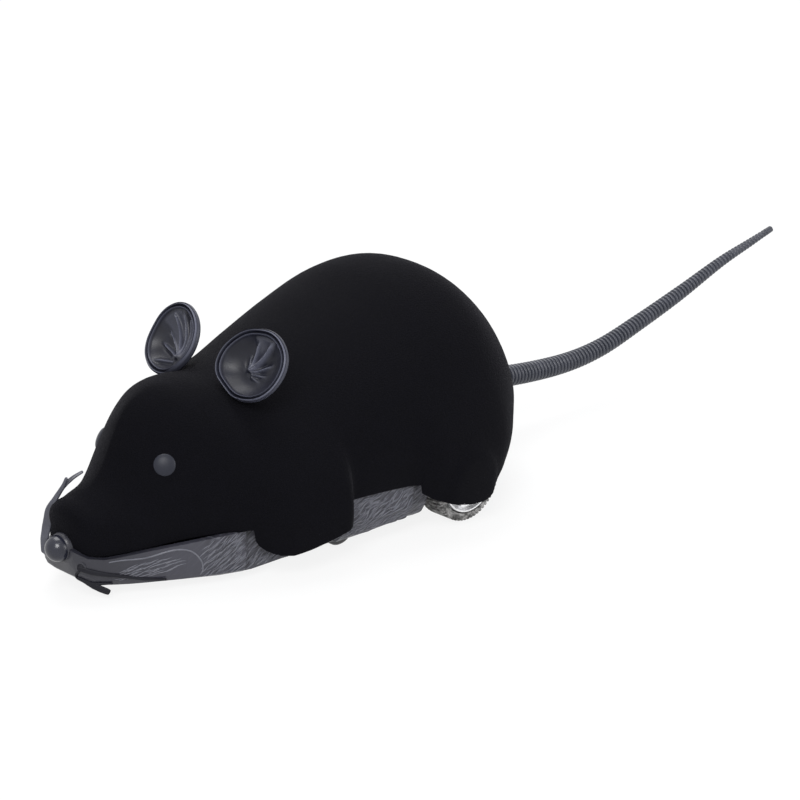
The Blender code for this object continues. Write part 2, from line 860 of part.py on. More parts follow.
shell_tree = tree_of(shell_grid)
chassis_tree = tree_of(chassis_grid)


def roof_above(x, y, depth):
    """Height of the shell's outer surface over a place, less the depth."""
    hit = shell_tree.ray_cast(Vector((x, y, axle_height)), Vector((0, 0, 1)))[0]
    return hit.z - depth


def shell_post(x, y, bottom):
    """A round post that hangs from the roof of the shell."""
    verts = []
    for k in range(post_sides):
        angle = 2 * math.pi * k / post_sides
        verts.append((x + post_radius * math.cos(angle), y + post_radius * math.sin(angle), bottom))
    for k in range(post_sides):
        vx, vy, _ = verts[k]
        verts.append((vx, vy, roof_above(vx, vy, shell_wall / 2)))
    middle = len(verts)
    verts.append((x, y, roof_above(x, y, shell_wall / 2)))
    faces = [tuple(reversed(range(post_sides)))]
    for k in range(post_sides):
        j = (k + 1) % post_sides
        faces.append((k, j, post_sides + j, post_sides + k))
        faces.append((post_sides + k, post_sides + j, middle))
    return outward(mesh_from(verts, faces))


body_screw_places = (
    ("front", 0.0, body_screw_front_along),
    ("left", rear_screw_side, body_screw_rear_along),
    ("right", -rear_screw_side, body_screw_rear_along),
)
pocket_top = chassis_clearance + screw_pocket_height
post_bottom = pocket_top + seam_gap
pilot_radius = body_screw_radius + slip_gap

# Eye, ear and tail seats
eye_seats = {}
for name, side in both_sides:
    start = Vector((side * overall_length, along(eye_along), eye_height))
    hit, normal, _, _ = shell_tree.ray_cast(start, Vector((-side, 0, 0)))
    if normal.x * side < 0:
        normal = -normal
    eye_seats[name] = (hit, normal)

ear_seats = {}
ear_stems = {}
for name, side in both_sides:
    facing = Vector((side * math.sin(ear_yaw) * math.cos(ear_pitch),
                     -math.cos(ear_yaw) * math.cos(ear_pitch), math.sin(ear_pitch)))
    drop = (Vector((0, 0, -1)) + facing * facing.z).normalized()
    down = Matrix.Rotation(-side * ear_lean, 3, facing) @ drop
    centre = Vector((side * ear_side, along(ear_along), ear_height))
    ear_seats[name] = (centre, facing, down)
    stem_start = centre + down * ear_radius * ear_stem_place_share - facing * ear_cup_depth
    ear_stems[name] = (stem_start, (down - facing * ear_stem_tilt_share).normalized())

tail_pivot = Vector((0, along(tail_root_along - tail_pivot_inset), tail_pivot_height))
tail_reach = overall_length - tail_root_along
tail_stops = [tail_pivot]
for back, rise in tail_path_shares:
    tail_stops.append(Vector((0, along(tail_root_along + tail_reach * back), tail_tip_height * rise)))
tail_start = (tail_stops[1] - tail_pivot).normalized()

# Upper shell
shell = thick_grid(shell_grid, shell_grid - shell_wall * grid_normals(shell_grid))
shell = join(shell, *[shell_post(x, along(d), post_bottom) for _, x, d in body_screw_places])
for _, x, d in body_screw_places:
    low = (x, along(d), post_bottom - part_gap)
    high = (x, along(d), pocket_top + body_screw_length)
    shell = cut(shell, rod(low, high, pilot_radius, 12))
for name, side in both_sides:
    hit, normal = eye_seats[name]
    shell = cut(shell, rod(hit - normal * eye_pocket_depth, hit + normal * eye_stem_length,
                           eye_radius + slip_gap, 16),
                rod(hit - normal * 2 * eye_stem_length, hit, eye_stem_radius + slip_gap, 12))
    stem_start, stem_way = ear_stems[name]
    stem_end = stem_start + stem_way * 2 * ear_stem_length
    shell = cut(shell, rod(stem_start, stem_end, ear_stem_radius + slip_gap, 14))
shell = cut(shell, rod(tail_pivot - tail_start * 4 * shell_wall, tail_pivot + tail_start * 4 * shell_wall,
                       tail_hole_radius, 16))
nose_centre = Vector((0, along(nose_radius), nose_height))


def ball(centre, radius, sides, rings):
    profile = [(-radius * math.cos(math.pi * k / rings), radius * math.sin(math.pi * k / rings))
               for k in range(1, rings)]
    return turned([(-radius, 0)] + profile + [(radius, 0)], centre, (0, 1, 0), sides)


def nose_passage():
    """The round way for the nose's neck."""
    return rod(nose_centre, nose_centre + Vector((0, nose_neck_end, 0)), nose_neck_radius + slip_gap, 16)


shell = cut(shell, ball(nose_centre, nose_radius + slip_gap, 20, 10), nose_passage())
add_object("upper_shell", shell, (0.012, 0.012, 0.015), 0.95)

# Chassis
chassis = thick_grid(chassis_grid, tray_inside(chassis_lead_in_grid, chassis_plain_edge, chassis_wall))
base_low = chassis_clearance + chassis_wall / 2
bay_outer = box(-bay_half_width - bay_wall, bay_half_width + bay_wall,
                along(bay_front - bay_wall), along(bay_rear + bay_wall), base_low, bay_roof_top)
chassis = join(chassis, bay_outer)
screw_block_rear = bay_rear + door_screw_setback + door_screw_block_margin
block_low = chassis_floor_top + part_gap
screw_block = box(-door_screw_block_half_width, door_screw_block_half_width,
                  along(bay_rear + bay_wall / 2), along(screw_block_rear), block_low,
                  block_low + door_screw_block_height)
chassis = join(chassis, screw_block)
for name, x, d in body_screw_places:
    chassis = join(chassis, rod((x, along(d), base_low + chassis_wall / 4), (x, along(d), pocket_top),
                                screw_pocket_radius, 14))
roller_rib_places = (
    roller_inner_side - roller_stub_length,
    roller_inner_side + roller_width + roller_stub_length - rib_thickness,
)
for name, side in both_sides:
    for place in roller_rib_places:
        rib = box(side * place, side * (place + rib_thickness), along(roller_along - rib_half_length),
                  along(roller_along + rib_half_length), base_low, roller_radius + rib_rise)
        chassis = join(chassis, rib)
post_low = bay_roof_top - bay_wall / 2
board_post_top = bay_roof_top + board_post_height
board_post_side = board_half_width - board_post_inset
for x in (board_post_side, -board_post_side):
    for d in (board_front + board_post_inset, board_rear - board_post_inset):
        post = rod((x, along(d), post_low), (x, along(d), board_post_top), board_post_radius, 10)
        chassis = join(chassis, post)

# Openings in the chassis
chassis = cut(chassis, box(-bay_half_width, bay_half_width, along(bay_front), along(bay_rear),
                           chassis_clearance - cut_overrun, bay_roof_low))
ear_rear = bay_rear + door_ear_length
chassis = cut(chassis, box(-door_ear_half_width - part_gap, door_ear_half_width + part_gap,
                           along(bay_rear - bay_wall), along(ear_rear + part_gap),
                           chassis_clearance - cut_overrun, block_low))
tongue_top = chassis_floor_top + part_gap + door_tongue_thickness
chassis = cut(chassis, box(-door_tongue_half_width - 2 * part_gap, door_tongue_half_width + 2 * part_gap,
                           along(bay_front - 2 * bay_wall), along(bay_front + bay_wall), chassis_floor_top,
                           chassis_floor_top + door_tongue_swing + part_gap))
door_screw_along = bay_rear + door_screw_setback
chassis = cut(chassis, rod((0, along(door_screw_along), chassis_clearance),
                           (0, along(door_screw_along), block_low + 2 * door_screw_block_height),
                           door_screw_radius + slip_gap, 12))
for name, x, d in body_screw_places:
    foot = chassis_clearance - cut_overrun
    chassis = cut(chassis, rod((x, along(d), foot), (x, along(d), chassis_clearance + screw_pocket_depth),
                               body_screw_head_radius + slip_gap, 14),
                  rod((x, along(d), foot), (x, along(d), post_bottom), pilot_radius, 12))
well_inner = outer_plate_side + outer_plate_thickness + part_gap
for name, side in both_sides:
    chassis = cut(chassis, box(side * well_inner, side * (body_half_width + cut_overrun), along(well_front),
                               along(well_rear), -cut_overrun, well_height))
    slot_half = math.sqrt(roller_radius ** 2 - (roller_radius - chassis_floor_top) ** 2) + roller_slot_margin
    chassis = cut(chassis, box(side * (roller_inner_side - part_gap),
                               side * (roller_inner_side + roller_width + part_gap),
                               along(roller_along - slot_half), along(roller_along + slot_half),
                               -cut_overrun, roller_radius + rib_rise))
    rib_inner = side * (roller_inner_side - roller_stub_length - rib_thickness)
    rib_outer = side * (roller_inner_side + roller_width + roller_stub_length + rib_thickness)
    chassis = cut(chassis, rod((rib_inner, along(roller_along), roller_radius),
                               (rib_outer, along(roller_along), roller_radius),
                               roller_stub_radius + slip_gap, 12))
slot_half_length = switch_travel / 2 + knob_half_size + part_gap
slot_half_width = knob_half_size + part_gap
chassis = cut(chassis, box(-slot_half_length, slot_half_length, along(switch_along - slot_half_width),
                           along(switch_along + slot_half_width),
                           chassis_clearance - cut_overrun, chassis_floor_top + chassis_wall / 2))
tab_middle = (contact_inner_side + contact_outer_side) / 2
contact_front = bay_front + part_gap
for name, side in both_sides:
    slot_low = contact_front - part_gap / 2
    slot_high = contact_front + contact_thickness + part_gap
    tab_slot = box(side * (tab_middle - contact_tab_width / 2 - part_gap),
                   side * (tab_middle + contact_tab_width / 2 + part_gap),
                   along(slot_low), along(slot_high), bay_roof_low - part_gap, bay_roof_top + part_gap)
    chassis = cut(chassis, tab_slot)
    peg = Vector((side * whisker_peg_side, along(whisker_peg_along), whisker_peg_height))
    near, outward_way, _, _ = chassis_tree.find_nearest(peg)
    if outward_way.x * side < 0:
        outward_way = -outward_way
    peg_way = outward_way * whisker_peg_depth
    chassis = cut(chassis, rod(near - peg_way, near + peg_way, whisker_peg_radius + slip_gap, 12))
chassis = cut(chassis, ball(nose_centre, nose_radius + slip_gap, 20, 10), nose_passage())
add_object("chassis", chassis, (0.09, 0.09, 0.115), 0.42)

# Battery door, turning on the lower edge of its front end
door_front = bay_front + part_gap
door_rear = bay_rear - part_gap
door = box(-bay_half_width + part_gap, bay_half_width - part_gap, along(door_front), along(door_rear),
           chassis_clearance, chassis_clearance + door_thickness)
door_top = chassis_clearance + door_thickness
tongue_half = door_tongue_half_width
door_ear = box(-door_ear_half_width, door_ear_half_width, along(door_rear - bay_wall), along(ear_rear),
               chassis_clearance, door_top)
tongue_root = box(-tongue_half, tongue_half, along(door_front), along(door_front + door_tongue_root),
                  chassis_clearance + door_thickness / 2, tongue_top)
tongue = box(-tongue_half, tongue_half, along(door_front - door_tongue_reach),
             along(door_front + door_tongue_root / 2), tongue_top - door_tongue_thickness, tongue_top)
door = join(door, door_ear, tongue_root, tongue)
head_top = chassis_clearance + door_screw_head_depth + door_screw_head_height
screw_foot = Vector((0, along(door_screw_along), chassis_clearance - part_gap))
head_seat = Vector((0, along(door_screw_along), head_top + part_gap / 2))
screw_way_end = Vector((0, along(door_screw_along), door_top + door_thickness))
door = cut(door, rod(screw_foot, head_seat, door_screw_head_radius + slip_gap, 16),
           rod(screw_foot, screw_way_end, door_screw_radius + slip_gap, 12))
door_axis = Vector((0, along(bay_front + part_gap / 2), chassis_clearance))
add_object("battery_door", door, (0.08, 0.08, 0.10), 0.45, origin=door_axis, smooth=None)

door_screw = turned(
    [(0, door_screw_head_radius), (door_screw_head_height, door_screw_head_radius),
     (door_screw_head_height, door_screw_radius),
     (block_low + door_screw_block_height - chassis_clearance - door_screw_head_depth, door_screw_radius)],
    (0, along(door_screw_along), chassis_clearance + door_screw_head_depth), (0, 0, 1), 14)
add_object("door_screw", door_screw, (0.55, 0.55, 0.57), 0.3, 1.0)

for name, x, d in body_screw_places:
    head_low = chassis_clearance + screw_pocket_depth - slip_gap - body_screw_head_height
    screw = turned(
        [(0, body_screw_head_radius), (body_screw_head_height, body_screw_head_radius),
         (body_screw_head_height, body_screw_radius), (body_screw_length, body_screw_radius),
         (body_screw_length + body_screw_radius, 0)],
        (x, along(d), head_low), (0, 0, 1), 12)
    add_object("body_screw_" + name, screw, (0.55, 0.55, 0.57), 0.3, 1.0)

# Nose button: a ball, a neck through the muzzle and a flange behind the wall
ball_back = math.sqrt(nose_radius ** 2 - nose_neck_radius ** 2)
nose_profile = [(-nose_radius, 0)]
for k in range(1, 9):
    turn_to = math.pi * k / 12
    place = -nose_radius * math.cos(turn_to)
    nose_profile.append((place, nose_radius * math.sin(turn_to)))
nose_end = nose_neck_end - nose_radius
nose_profile += [(ball_back, nose_neck_radius), (nose_end, nose_neck_radius), (nose_end, nose_flange_radius),
                 (nose_end + nose_flange_thickness, nose_flange_radius)]
add_object("nose", turned(nose_profile, nose_centre, (0, 1, 0), 20), (0.10, 0.10, 0.13), 0.2)

# Eyes and ears
for name, side in both_sides:
    hit, normal = eye_seats[name]
    face = part_gap - eye_pocket_depth
    dome = [(-eye_stem_length, eye_stem_radius), (face, eye_stem_radius), (face, eye_radius * eye_rim_share)]
    for k in range(3):
        angle = math.pi / 2 * k / 3
        dome.append((face + eye_dome / 4 + eye_dome * math.sin(angle), eye_radius * math.cos(angle)))
    dome.append((face + eye_dome / 4 + eye_dome, 0))
    add_object("eye_" + name, turned(dome, hit, normal, 16), (0.10, 0.10, 0.12), 0.12)

keep_out = shell_grid + part_gap * grid_normals(shell_grid)
rows_count, columns_count, _ = keep_out.shape
keep_verts = list(keep_out.reshape(-1, 3))
keep_faces = []
for i in range(rows_count - 1):
    for j in range(columns_count - 1):
        a = i * columns_count + j
        keep_faces.append((a, a + 1, a + columns_count + 1, a + columns_count))
    a = i * columns_count
    keep_faces.append((a, a + columns_count, a + 2 * columns_count - 1, a + columns_count - 1))
keep_faces.append(tuple(range(columns_count)))
keep_faces.append(tuple(reversed(range((rows_count - 1) * columns_count, rows_count * columns_count))))

for name, side in both_sides:
    centre, facing, down = ear_seats[name]
    across = down.cross(facing)
    profile = [(reach, ear_cup_depth * depth) for reach, depth in ear_bowl_shares]
    profile += [(reach, ear_bead * height) for reach, height in ear_bead_shares]
    profile.append((1.0, -ear_wall * ear_rim_back_share))
    for reach, depth in reversed(ear_bowl_shares[:-1]):
        profile.append((reach * ear_back_share, ear_cup_depth * depth - ear_wall))
    verts = []
    rings = []
    for reach, depth in profile:
        if reach == 0:
            rings.append([len(verts)])
            verts.append(centre + facing * depth)
            continue
        ring = []
        for k in range(ear_sides):
            angle = 2 * math.pi * k / ear_sides
            # rounder at the tip, drawn in a little toward the root
            root_taper = ear_root_taper_share * ramp(math.cos(angle))
            side_taper = ear_side_taper_share * math.sin(angle) ** 2
            outline = ear_radius * (1.0 - root_taper - side_taper)
            ring.append(len(verts))
            verts.append(centre + facing * depth
                         + (down * math.cos(angle) + across * math.sin(angle)) * outline * reach)
        rings.append(ring)
    faces = []
    for low, high in zip(rings[:-1], rings[1:]):
        for k in range(ear_sides):
            j = (k + 1) % ear_sides
            if len(low) == 1:
                faces.append((low[0], high[j], high[k]))
            elif len(high) == 1:
                faces.append((low[k], low[j], high[0]))
            else:
                faces.append((low[k], low[j], high[j], high[k]))
    ear = outward(mesh_from(verts, faces))
    keeper = outward(mesh_from(keep_verts, keep_faces))
    ear = cut(ear, keeper)
    stem_start, stem_way = ear_stems[name]
    ear = join(ear, rod(stem_start, stem_start + stem_way * ear_stem_length, ear_stem_radius, 14))
    add_object("ear_" + name, ear, (0.055, 0.055, 0.075), 0.32)

# Tail: flange and neck in the shell, then rings down to the tip
tail_line = curve_points(tail_stops, 4 * tail_rings)
tail_length = float(np.sum(np.linalg.norm(np.diff(tail_line, axis=0), axis=1)))


def tail_point(distance):
    share = min(max(distance / tail_length, 0.0), 1.0) * (len(tail_line) - 1)
    i = min(int(share), len(tail_line) - 2)
    return Vector(tail_line[i] + (tail_line[i + 1] - tail_line[i]) * (share - i))


def tail_radius(distance):
    places, shares = zip(*tail_radius_shares)
    return tail_root_radius * float(np.interp(distance / tail_length, places, shares))


flange_near = tail_neck_inner
flange_far = tail_neck_inner + tail_flange_thickness
tail_points = [
    tail_pivot - tail_start * flange_far,
    tail_pivot - tail_start * flange_near,
    tail_pivot - tail_start * (flange_near - part_gap / 10),
    tail_pivot + tail_start * (tail_neck_outer - part_gap / 10),
]
tail_radii = [tail_flange_radius, tail_flange_radius, tail_neck_radius, tail_neck_radius]
ring_pitch = (tail_length - tail_neck_outer) / tail_rings
for k in range(tail_rings):
    crest_start = tail_neck_outer + ring_pitch * k
    crest_end = crest_start + ring_pitch * tail_crest_share
    radius = tail_radius(crest_start)
    tail_points.append(tail_point(crest_start if k else crest_start + part_gap / 10))
    tail_radii.append(radius)
    tail_points.append(tail_point(crest_end))
    tail_radii.append(radius * (tail_valley_share if k < tail_rings - 1 else 1.0))
tail_points.append(tail_point(tail_length))
tail_radii.append(tail_tip_radius)
tail = tube(tail_points, tail_radii, tail_sides)
add_object("tail", tail, (0.07, 0.07, 0.095), 0.35, origin=tail_pivot, smooth=30)

# Whiskers: a peg through the muzzle and three prongs that lie off the surface
for name, side in both_sides:
    peg = Vector((side * whisker_peg_side, along(whisker_peg_along), whisker_peg_height))
    near, outward_way, _, _ = chassis_tree.find_nearest(peg)
    if outward_way.x * side < 0:
        outward_way = -outward_way
    root = near + outward_way * whisker_peg_reach
    inside = near - outward_way * whisker_flange_setback
    peg_profile = [
        (-whisker_flange_thickness, whisker_flange_radius), (0, whisker_flange_radius),
        (0, whisker_peg_radius), ((root - inside).length + whisker_peg_radius, whisker_peg_radius),
    ]
    whisker = turned(peg_profile, inside, outward_way, 12)
    prongs = left_prong_shares if side > 0 else right_prong_shares
    for prong in prongs:
        stops = []
        for across_share, back_share, up_share in prong:
            stop = root + Vector((side * whisker_span * across_share, whisker_span * back_share,
                                  whisker_span * up_share))
            stops.append(stop)
        line = []
        for point in curve_points(stops, whisker_steps):
            point = Vector(point)
            for tree in (chassis_tree, shell_tree):
                spot, way, _, _ = tree.find_nearest(point)
                if way.x * side < 0:
                    way = -way
                lift = (point - spot).dot(way)
                if (point - spot).length < whisker_standoff * whisker_seek_share and lift < whisker_standoff:
                    point = spot + way * whisker_standoff
                elif lift < 0 and (point - spot).length < whisker_span / 4:
                    point = spot + way * whisker_standoff
            line.append(point)
        if stops[0] == root:
            line[0] = root
        thinner = [min(1.0, 2 * k / whisker_steps) for k in range(len(line))]
        radii = [whisker_root_radius + (whisker_radius - whisker_root_radius) * t for t in thinner]
        whisker = join(whisker, tube(line, radii, whisker_sides, (0, 0, 1)))
    add_object("whiskers_" + name, whisker, (0.05, 0.05, 0.06), 0.5)

# Rear axle with a head at each end
axle_end = wheel_outer_side - hub_web_inset + slip_gap
head_end = axle_end + axle_head_width
axle_profile = [
    (-head_end, axle_head_radius), (-axle_end, axle_head_radius), (-axle_end, rear_axle_radius),
    (axle_end, rear_axle_radius), (axle_end, axle_head_radius), (head_end, axle_head_radius),
]
rear_axle = turned(axle_profile, (0, along(rear_axle_along), axle_height), (1, 0, 0), 16)
add_object("rear_axle", rear_axle, (0.6, 0.6, 0.62), 0.25, 1.0)


# Gears
def gear_outline(teeth, turn):
    """Tooth corners about the axis as (angle, radius) pairs."""
    pitch = gear_module * teeth / 2
    tip = pitch + gear_module * tooth_addendum_share
    root = pitch - gear_module * tooth_dedendum_share
    step = 2 * math.pi / teeth
    corners = []
    for k in range(teeth):
        middle = turn + step * k
        corners.append((middle - step * tooth_root_share / 2, root))
        corners.append((middle - step * tooth_tip_share / 2, tip))
        corners.append((middle + step * tooth_tip_share / 2, tip))
        corners.append((middle + step * tooth_root_share / 2, root))
    return corners


def gear_prism(teeth, turn, side, start, width, distance, height):
    """A toothed prism from start outward, on the given side of the body."""
    corners = gear_outline(teeth, turn)
    count = len(corners)
    verts = []
    for x in (start, start + width):
        for angle, radius in corners:
            place = along(distance) + radius * math.cos(angle)
            verts.append((side * x, place, height + radius * math.sin(angle)))
    faces = [tuple(range(count)), tuple(reversed(range(count, 2 * count)))]
    for k in range(count):
        j = (k + 1) % count
        faces.append((k, j, count + j, count + k))
    return outward(mesh_from(verts, faces))


def side_rod(side, start, end, distance, height, radius, sides=gear_bore_sides):
    return rod((side * start, along(distance), height), (side * end, along(distance), height), radius, sides)


bore_overrun = cut_overrun / 4
large_step = 2 * math.pi / gear_large_teeth
small_step = 2 * math.pi / gear_small_teeth
# Each gear has a tooth, or the space beside one, on the line through the three centres
wheel_gear_turn = train_angle
idler_small_turn = train_angle + math.pi + small_step / 2
idler_large_turn = train_angle
pinion_turn = train_angle + math.pi + small_step / 2
for name, side in both_sides:
    spin_axis = Vector((side * wheel_gear_inner, along(rear_axle_along), axle_height))
    wheel_gear = gear_prism(gear_large_teeth, wheel_gear_turn, side, wheel_gear_inner, wheel_gear_width,
                            rear_axle_along, axle_height)
    sleeve_end = wheel_inner_side - part_gap
    wheel_gear = join(wheel_gear, side_rod(side, wheel_gear_inner + wheel_gear_width / 2, sleeve_end,
                                           rear_axle_along, axle_height, gear_sleeve_radius))
    wheel_gear = cut(wheel_gear, side_rod(side, wheel_gear_inner - bore_overrun, sleeve_end + bore_overrun,
                                          rear_axle_along, axle_height, axle_bore))
    add_object("wheel_gear_" + name, wheel_gear, (0.75, 0.73, 0.66), 0.45, origin=spin_axis, smooth=25)

    idler_axis = Vector((side * compound_large_inner, along(idler_along), idler_height))
    compound = gear_prism(gear_large_teeth, idler_large_turn, side, compound_large_inner,
                          compound_large_width, idler_along, idler_height)
    compound = join(compound, gear_prism(gear_small_teeth, idler_small_turn, side,
                                         compound_large_inner + compound_large_width / 2,
                                         compound_large_width / 2 + compound_small_width,
                                         idler_along, idler_height))
    compound_end = compound_large_inner + compound_large_width + compound_small_width
    compound = cut(compound, side_rod(side, compound_large_inner - bore_overrun, compound_end + bore_overrun,
                                      idler_along, idler_height, idler_pin_radius + slip_gap, 12))
    add_object("compound_gear_" + name, compound, (0.72, 0.70, 0.62), 0.45, origin=idler_axis, smooth=25)

    pin_end = outer_plate_side + outer_plate_thickness - part_gap
    idler_pin = side_rod(side, inner_plate_side + part_gap, pin_end, idler_along, idler_height,
                         idler_pin_radius, 12)
    add_object("idler_pin_" + name, idler_pin, (0.6, 0.6, 0.62), 0.25, 1.0)

    pinion_axis = Vector((side * pinion_inner, along(motor_along), motor_height))
    pinion = gear_prism(gear_small_teeth, pinion_turn, side, pinion_inner, pinion_width,
                        motor_along, motor_height)
    pinion = join(pinion, side_rod(side, inner_plate_side, pinion_inner + pinion_width / 2, motor_along,
                                   motor_height, motor_shaft_radius, 12))
    add_object("motor_pinion_" + name, pinion, (0.70, 0.58, 0.30), 0.3, 1.0, origin=pinion_axis, smooth=25)

# Gearbox: two plates with the bearing holes, joined by a front and a rear wall
box_low = chassis_floor_top + part_gap
box_high = motor_height + gearbox_top_margin
for name, side in both_sides:
    inner_plate = box(side * inner_plate_side, side * (inner_plate_side + inner_plate_thickness),
                      along(gearbox_front), along(gearbox_rear), box_low, box_high)
    outer_plate = box(side * outer_plate_side, side * (outer_plate_side + outer_plate_thickness),
                      along(gearbox_front), along(gearbox_rear), box_low, box_high)
    wall_inner = side * (inner_plate_side + inner_plate_thickness / 2)
    wall_outer = side * (outer_plate_side + outer_plate_thickness / 2)
    front_wall = box(wall_inner, wall_outer, along(gearbox_front), along(gearbox_front + gearbox_wall),
                     box_low, box_high)
    rear_wall = box(wall_inner, wall_outer, along(gearbox_rear - gearbox_wall), along(gearbox_rear),
                    box_low, box_high)
    gearbox = join(inner_plate, front_wall, outer_plate, rear_wall)
    plate_start = inner_plate_side - part_gap
    plate_middle = inner_plate_side + 2 * inner_plate_thickness
    plate_end = outer_plate_side + outer_plate_thickness + part_gap
    gearbox = cut(gearbox,
                  side_rod(side, plate_start, plate_middle, rear_axle_along, axle_height, axle_bore),
                  side_rod(side, outer_plate_side - part_gap, plate_end, rear_axle_along, axle_height,
                           gear_sleeve_radius + slip_gap),
                  side_rod(side, plate_start, plate_end, idler_along, idler_height,
                           idler_pin_radius + slip_gap, 12),
                  side_rod(side, plate_start, plate_middle, motor_along, motor_height,
                           motor_shaft_radius + slip_gap, 12))
    add_object("gearbox_" + name, gearbox, (0.78, 0.77, 0.72), 0.5, smooth=25)

    # Motor can with a flat each way and a neck at its shaft end
    motor_outer = inner_plate_side - part_gap
    motor_axis_at = (side * motor_half_gap, along(motor_along), motor_height)
    can_long = motor_outer - motor_half_gap
    rim_cut = motor_radius - motor_radius * motor_rim_share
    neck_start = can_long - motor_neck_length
    motor = turned([(0, motor_radius * motor_rim_share), (rim_cut, motor_radius), (neck_start, motor_radius),
                    (neck_start, motor_neck_radius), (can_long, motor_neck_radius)],
                   motor_axis_at, (side, 0, 0), 20)
    add_object("motor_" + name, motor, (0.62, 0.62, 0.64), 0.3, 1.0)

# Motor clamp: an arch over both cans, standing on the bay roof
clamp_inner = motor_radius + part_gap
clamp_outer = clamp_inner + clamp_thickness
clamp_low = bay_roof_top + part_gap
arch = [(clamp_outer, clamp_low - motor_height)]
arch_steps = 10
for k in range(arch_steps + 1):
    angle = math.pi * k / arch_steps
    arch.append((clamp_outer * math.cos(angle), clamp_outer * math.sin(angle)))
arch.append((-clamp_outer, clamp_low - motor_height))
arch.append((-clamp_inner, clamp_low - motor_height))
for k in range(arch_steps, -1, -1):
    angle = math.pi * k / arch_steps
    arch.append((clamp_inner * math.cos(angle), clamp_inner * math.sin(angle)))
arch.append((clamp_inner, clamp_low - motor_height))
clamp_verts = [(x, along(motor_along) + y, motor_height + z) for x in (-clamp_half_width, clamp_half_width)
               for y, z in arch]
count = len(arch)
clamp_faces = [(k, (k + 1) % count, count + (k + 1) % count, count + k) for k in range(count)]
for k in range(count // 2 - 1):
    a, b, c, d = k, k + 1, count - 2 - k, count - 1 - k
    clamp_faces.append((a, b, c, d))
    clamp_faces.append((count + d, count + c, count + b, count + a))
add_object("motor_clamp", outward(mesh_from(clamp_verts, clamp_faces)), (0.70, 0.70, 0.72), 0.35, 1.0)

# Wheels: hub and tyre turn together on the axle
for name, side in both_sides:
    spin_axis = Vector((side * wheel_inner_side, along(rear_axle_along), axle_height))
    rim_inner = hub_radius - hub_rim_wall
    web_out = tyre_width - hub_web_inset
    web_in = web_out - hub_web_thickness
    hub_profile = [
        (0, rim_inner + hub_lip), (0, hub_radius),
        (tyre_width, hub_radius), (tyre_width, rim_inner + hub_lip),
        (web_out, rim_inner), (web_out, axle_bore), (0, axle_bore),
        (0, hub_boss_radius), (web_in, hub_boss_radius), (web_in, rim_inner),
    ]
    hub = turned(hub_profile, spin_axis, (side, 0, 0), 24, looped=True)
    add_object("wheel_hub_" + name, hub, (0.80, 0.80, 0.82), 0.2, 1.0, origin=spin_axis)
    tyre_profile = [
        (0, tyre_inner_radius), (0, tyre_radius - tyre_shoulder), (tyre_shoulder, tyre_radius),
        (tyre_width - tyre_shoulder, tyre_radius), (tyre_width, tyre_radius - tyre_shoulder),
        (tyre_width, tyre_inner_radius),
    ]
    tyre = turned(tyre_profile, spin_axis, (side, 0, 0), 32, looped=True)
    add_object("tyre_" + name, tyre, (0.02, 0.02, 0.022), 0.8, origin=spin_axis)

# Front rollers with a stub at each end
for name, side in both_sides:
    roller_axis = Vector((side * roller_inner_side, along(roller_along), roller_radius))
    stub = roller_stub_length
    roller = turned([(-stub, roller_stub_radius), (0, roller_stub_radius), (0, roller_radius),
                     (roller_width, roller_radius), (roller_width, roller_stub_radius),
                     (roller_width + stub, roller_stub_radius)],
                    roller_axis, (side, 0, 0), 20)
    add_object("front_roller_" + name, roller, (0.015, 0.015, 0.017), 0.5, origin=roller_axis)

# Cells, contacts and springs. The left cell has its button forward, the right one backward
cell_space_front = contact_front + contact_thickness + part_gap
cell_space_rear = bay_rear - part_gap - contact_thickness - part_gap
for name, side in both_sides:
    if side > 0:
        start, way = cell_space_front, 1
    else:
        start, way = cell_space_rear, -1
    cell = turned([(0, cell_button_radius), (cell_button_height, cell_button_radius),
                   (cell_button_height, cell_radius), (cell_length, cell_radius)],
                  (side * cell_offset, along(start), cell_height), (0, way, 0), 20)
    add_object("battery_" + name, cell, (0.10, 0.30, 0.16), 0.35)

    spring_start = start + way * (cell_length + part_gap)
    spring_span = spring_length - 2 * part_gap - 2 * spring_wire_radius
    spring_points = []
    total = spring_turns * spring_turn_points
    for k in range(total + 1):
        f = k / total
        angle = 2 * math.pi * spring_turns * f
        radius = spring_small_radius + (spring_large_radius - spring_small_radius) * f
        spring_points.append(Vector((side * cell_offset + radius * math.cos(angle),
                                     along(spring_start) + way * (spring_wire_radius + spring_span * f),
                                     cell_height + radius * math.sin(angle))))
    least = min((spring_points[a] - spring_points[b]).length - 2 * spring_wire_radius
                for a in range(total + 1) for b in range(a + spring_turn_points // 2, total + 1))
    print("spring_" + name, "least gap between its turns", round(least * 1000, 3), "mm")
    spring = tube(spring_points, [spring_wire_radius] * (total + 1), 6, (0, 1, 0))
    add_object("contact_spring_" + name, spring, (0.75, 0.75, 0.76), 0.25, 1.0)

plate_low = cell_height - cell_radius + contact_margin
plate_high = bay_roof_low - part_gap
for name, side in both_sides:
    plate = box(side * contact_inner_side, side * contact_outer_side, along(contact_front),
                along(contact_front + contact_thickness), plate_low, plate_high)
    tab_inner = side * (tab_middle - contact_tab_width / 2)
    tab_outer = side * (tab_middle + contact_tab_width / 2)
    tab = box(tab_inner, tab_outer, along(contact_front), along(contact_front + contact_thickness),
              plate_high - contact_margin, bay_roof_top + contact_tab_height)
    plate = join(plate, tab)
    add_object("contact_plate_" + name, plate, (0.75, 0.75, 0.76), 0.25, 1.0, smooth=None)
bridge_rear = bay_rear - part_gap
bridge = box(-contact_outer_side, contact_outer_side, along(bridge_rear - contact_thickness),
             along(bridge_rear), plate_low, plate_high)
add_object("contact_bridge", bridge, (0.75, 0.75, 0.76), 0.25, 1.0, smooth=None)

